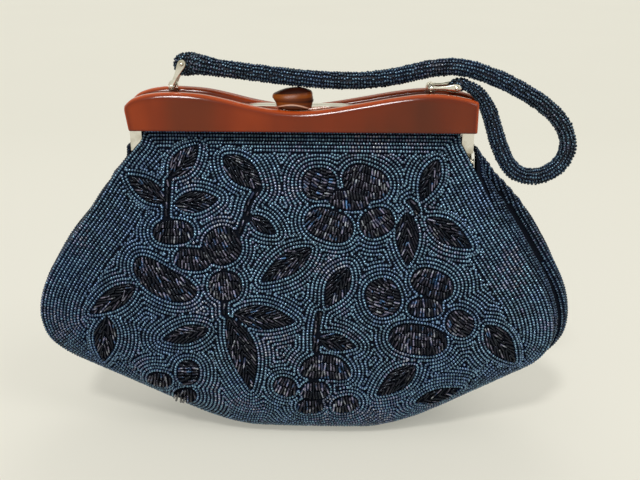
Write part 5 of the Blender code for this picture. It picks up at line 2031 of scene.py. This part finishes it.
@dataclass
class RopeWrap:
    """The beaded end of the rope, folded round a bail's crossbar and sewn down.

    Each station has its place and height from the middle of the bars' lower edge, and its half height
    and half depth, in millimetres.
    """

    shop: Workshop
    side: Side
    stations_mm: tuple
    depth_place: float = 0.0023
    bead_size: tuple = (1.38 * MM, 1.6 * MM, 1.6 * MM)
    sides: int = 40
    steps: int = 60

    def surface(self, inset: float) -> np.ndarray:
        """Rings of the wrap's surface at an inset."""
        rows = np.array(self.stations_mm) * MM
        shares, steps = np.linspace(0, 1, len(rows)), np.linspace(0, 1, self.steps)
        columns = [read_table(np.stack([shares, rows[:, k]], axis=1), steps) for k in range(4)]
        angles = np.linspace(0, 2 * math.pi, self.sides, endpoint=False)
        half_height = np.maximum(columns[2] - inset, 0.05 * MM)[:, None]
        half_depth = np.maximum(columns[3] - inset, 0.05 * MM)[:, None]
        x = np.repeat(columns[0][:, None], self.sides, axis=1) + self.shop.shape.shift
        z = columns[1][:, None] + half_height * np.cos(angles) + self.shop.shape.height
        y = self.depth_place + half_depth * np.sin(angles)
        return np.stack([x, y, z], axis=-1)

    def build(self) -> None:
        """Builds the wrap's core and the beads over it."""
        label = self.side.name.lower()
        name = f"rope_{label}_wrap"
        thread = self.shop.finishes["thread"]
        core = closed_tube(f"{name}_core", self.surface(self.bead_size[2] * 0.7), thread)
        grid = self.surface(self.bead_size[2] / 2)
        around = np.roll(grid, -1, axis=1) - np.roll(grid, 1, axis=1)
        along = np.gradient(grid, axis=0)
        out = unit(np.cross(around, along)).reshape(-1, 3)
        flat = grid.reshape(-1, 3)
        middle = np.repeat(grid.mean(axis=1), self.sides, axis=0)
        out = np.where(((flat - middle) * out).sum(axis=1)[:, None] < 0, -out, out)
        order = RANDOM.permutation(len(flat))
        kept = order[thinned(flat[order], self.bead_size[2] * 0.8)]
        headings = unit(around if self.side is Side.LEFT else along).reshape(-1, 3)
        beads = Beads.varied(
            (flat[kept], headings[kept], out[kept]), np.array(self.bead_size), (0.9, 1.08), (0.0, 0.45)
        )
        piece = joined(name, [core, self.shop.sew(f"{name}_beads", beads)])
        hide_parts(f"handle_loop_{label}")
        if self.side is Side.LEFT:
            self.shop.bend_with_bail(piece, self.side)
        else:
            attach(piece, "right_bail")


LEFT_WRAP_MM = (
    (-64.6, 31.4, 0.9, 0.6), (-64.1, 31.5, 3.2, 1.9), (-62.7, 31.5, 5.0, 3.0), (-60.2, 31.6, 6.0, 3.5),
    (-57.2, 31.8, 6.2, 4.0), (-54.4, 31.9, 5.9, 4.8), (-52.0, 31.6, 5.5, 5.1), (-51.0, 31.5, 4.6, 4.5),
)
RIGHT_WRAP_MM = (
    (75.2, 21.6, 0.7, 0.6), (75.7, 21.7, 2.2, 1.8), (77.0, 21.9, 3.2, 2.9), (79.0, 22.2, 3.6, 3.4),
    (81.2, 22.3, 3.6, 3.3), (83.4, 22.1, 3.3, 3.1), (84.6, 21.8, 2.6, 2.5),
)


@dataclass
class RopeHandle:
    """The beaded rope: strings of beads lengthwise round a cord, in three lengths."""

    shop: Workshop
    radius: float = 0.0045
    strings: int = 13
    pitch: float = 1.45 * MM
    bead_size: tuple = (1.38 * MM, 1.62 * MM, 1.62 * MM)
    twist_per_metre: float = 9.0
    stray_turn: float = 0.05
    stray_height: float = 0.12 * MM
    core_sides: int = 16
    left_share: float = 0.24
    right_share: float = 0.78

    def line(self) -> tuple[np.ndarray, np.ndarray]:
        """Closely spaced points along the rope, and its thickness there."""
        route = np.array(ROPE_ROUTE)
        chords = running_lengths(route[:, :3])
        places = np.linspace(0, chords[-1], round(chords[-1] / self.pitch) + 1)
        columns = [read_table(np.stack([chords, route[:, k]], axis=1), places) for k in range(4)]
        points = np.stack(columns[:3], axis=1) + [self.shop.shape.shift, 0, self.shop.shape.height]
        return points, columns[3]

    def frames(self, points: np.ndarray) -> tuple[np.ndarray, np.ndarray, np.ndarray]:
        """Directions along the rope and across it that turn as little as they can."""
        along = unit(np.gradient(points, axis=0))
        first = np.zeros_like(along)
        vector = np.cross(along[0], [0, 1.0, 0])
        for i, heading in enumerate(along):
            vector = vector - (vector @ heading) * heading
            vector = vector / np.linalg.norm(vector)
            first[i] = vector
        return along, first, np.cross(along, first)

    def build(self) -> None:
        points, thick = self.line()
        along, first, second = self.frames(points)
        count = len(points)
        cuts = [0, round(self.left_share * count), round(self.right_share * count), count]
        names = ("rope_left_end", "rope_middle", "rope_right_end")
        for number, name in enumerate(names):
            span = slice(cuts[number], min(cuts[number + 1] + 1, count))
            path = points[span]
            piece = self.length_of_rope(name, path, thick[span], along[span], first[span], second[span])
            length = float(np.linalg.norm(np.diff(path, axis=0), axis=1).sum())
            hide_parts("handle_rope")
            exit_point = path[-1] if number == 2 else path[0]
            if number == 2:
                path = path[::-1]
            tuple(exit_point)
            [tuple(p) for p in path]
            LOG.info("%s: %.0f mm", name, length * 1000)
            if number == 1:
                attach(piece, "rear_frame")
        self.shop.bend_with_bail(bpy.data.objects[names[0]], Side.LEFT)
        self.shop.bend_with_bail(bpy.data.objects[names[2]], Side.RIGHT)

    def length_of_rope(
        self, name: str, points: np.ndarray, thick: np.ndarray, along: np.ndarray,
        first: np.ndarray, second: np.ndarray,
    ) -> Piece:
        """Makes a length of cord with its strings of beads.

        Args:
            name: The piece's name.
            points: The centreline.
            thick: The rope's thickness at each point.
            along: Directions along the rope.
            first: Directions across it.
            second: Directions square to both.

        Returns:
            The joined piece.
        """
        core_radius = self.radius - 0.72 * self.bead_size[2]
        rings = [
            ring_round(points[i], first[i], second[i], core_radius * thick[i], self.core_sides)
            for i in range(len(points))
        ]
        core = closed_tube(f"{name}_core", np.array(rings), self.shop.finishes["thread"])
        centres, outward = [], []
        for string in range(self.strings):
            share = 0.5 + RANDOM.uniform(-0.3, 0.3)
            stray = RANDOM.normal(0, (self.stray_turn, self.stray_height), (len(points) - 1, 2))
            turn = 2 * math.pi * string / self.strings + self.twist_per_metre * points[:-1, :1]
            turn = turn + stray[:, :1]
            out = np.cos(turn) * first[:-1] + np.sin(turn) * second[:-1]
            reach = self.radius * thick[:-1, None] - self.bead_size[2] / 2 + stray[:, 1:]
            centres.append(points[:-1] + share * np.diff(points, axis=0) + reach * out)
            outward.append(out)
        headings = np.tile(along[:-1], (self.strings, 1))
        size = np.tile(self.bead_size, (len(headings), 1))
        size[:, 1] *= np.tile(thick[:-1], self.strings)
        places = (np.concatenate(centres), headings, np.concatenate(outward))
        beads = Beads.varied(places, size, (0.9, 1.08), (0.0, 0.5))
        return joined(name, [core, self.shop.sew(f"{name}_beads", beads)])


class MetalFrame:
    """The CAD nodes that keep their shape: channels, rivets, pins, posts, catch, lever and spring."""

    NODES = (
        "front_channel", "rear_channel", "hinge_pivot_left", "hinge_pivot_right", "clasp_catch",
        "clasp_lever", "clasp_pin", "clasp_spring", "knob_rivet", "bail_post_left", "bail_post_right",
    )

    def dress(self, nodes: dict[str, Piece], metal: Material) -> None:
        """Gives every metal node the plated finish."""
        rivets = [name for name in nodes if "bar_rivet" in name]
        for name in (*self.NODES, *rivets):
            node = nodes[name]
            if not node.material_slots:
                node.data.materials.append(metal)
            for slot in node.material_slots:
                slot.material = metal


@dataclass
class Stage:
    """The table and the soft studio light."""

    table_radius: float = 9.0
    world_colour: tuple = (1.0, 0.99, 0.97, 1.0)
    world_strength: float = 0.55
    background: tuple = linear(230, 228, 212)

    def build(self) -> None:
        """Adds the table, the world and the lamps."""
        editor = bmesh.new()
        bmesh.ops.create_circle(editor, cap_ends=True, segments=64, radius=self.table_radius)
        mesh = bpy.data.meshes.new("table")
        editor.to_mesh(mesh)
        editor.free()
        table = add_piece("table", mesh, PaleTable().make())
        self.light_world()
        self.lamp("key_light", (-0.18, -0.62, 1.0), 9.0, 1.0)
        self.lamp("fill_light", (0.7, -0.45, 0.9), 22.0, 0.42)
        self.lamp("rear_light", (0.1, 0.8, 0.9), 30.0, 0.35)
        self.lamp("softbox", (-0.18, -0.6, 0.7), 15.0, 2.2).visible_diffuse = False

    def lamp(
        self, name: str, place: tuple[float, float, float], spread: float, strength: float
    ) -> Piece:
        """Adds a far soft lamp that shines from place towards the bag, spread degrees wide."""
        data = bpy.data.lights.new(name, "SUN")
        data.angle = math.radians(spread)
        data.energy = strength
        obj = bpy.data.objects.new(name, data)
        bpy.context.scene.collection.objects.link(obj)
        obj.location = place
        obj.rotation_euler = Vector(place).to_track_quat("Z", "Y").to_euler()
        return obj

    def light_world(self) -> None:
        """Lights evenly from all round, and shows the pale background to the camera and in reflections."""
        world = bpy.data.worlds.new("studio")
        world.use_nodes = True
        tree = world.node_tree
        tree.nodes.clear()
        lit, shown = (
            add_node(tree, "ShaderNodeBackground", {"Color": colour, "Strength": strength}).outputs[0]
            for colour, strength in ((self.world_colour, self.world_strength), (self.background, 1.0))
        )
        mix = add_node(tree, "ShaderNodeMixShader", {0: seen_rays(tree), 1: lit, 2: shown})
        add_node(tree, "ShaderNodeOutputWorld", {"Surface": mix.outputs[0]})
        bpy.context.scene.world = world


def main() -> None:
    """Builds every sub-assembly of the handbag in order."""
    logging.basicConfig(level=logging.INFO, format="%(name)s: %(message)s")
    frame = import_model()
    bpy.context.scene.view_settings.view_transform = "Standard"
    camera = PhotoCamera()
    camera.make()
    low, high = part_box("front_bar")
    shape = BagShape(shift=(low.x + high.x) / 2)
    finishes = {
        "seed": SeedGlass().make(), "bugle": BugleGlass().make(), "cloth": NavyCloth().make(),
        "satin": LiningSatin().make(), "tortoise": Tortoiseshell().make(), "knob": KnobPlastic().make(),
        "silver": SilverPlate().make(), "thread": WoundThread().make(),
    }
    shop = Workshop(shape, finishes, BeadStringer(), SEED_FORM.make(), BUGLE_FORM.make())
    RopeHandle(shop).build()
    LOG.info("rope handle done")
    Panels(shop).build(Embroidery(shape, camera))
    LOG.info("panels done")
    Gusset(shop, Side.RIGHT, 0.0165).build()
    Gusset(
        shop, Side.LEFT, 0.0025, pleats=5, pleat_depth=1.5 * MM, pleat_sharpness=1.5, bare_fold=0.9,
        first_row=0,
    ).build()
    LOG.info("gussets done")
    Lining(shop).build()
    for face in Face:
        Bar(shop, face).build()
    Knob(shop).build()
    Bail(shop, Side.LEFT, math.radians(27)).build()
    Bail(shop, Side.RIGHT, math.radians(90)).build()
    RopeWrap(shop, Side.LEFT, LEFT_WRAP_MM).build()
    RopeWrap(shop, Side.RIGHT, RIGHT_WRAP_MM).build()
    MetalFrame().dress(frame["nodes"], finishes["silver"])
    LOG.info("frame, clasp and bails done")
    for form in (shop.seed, shop.bugle):
        bpy.data.objects.remove(form)
    Stage().build()


if __name__ == "__main__":
    main()
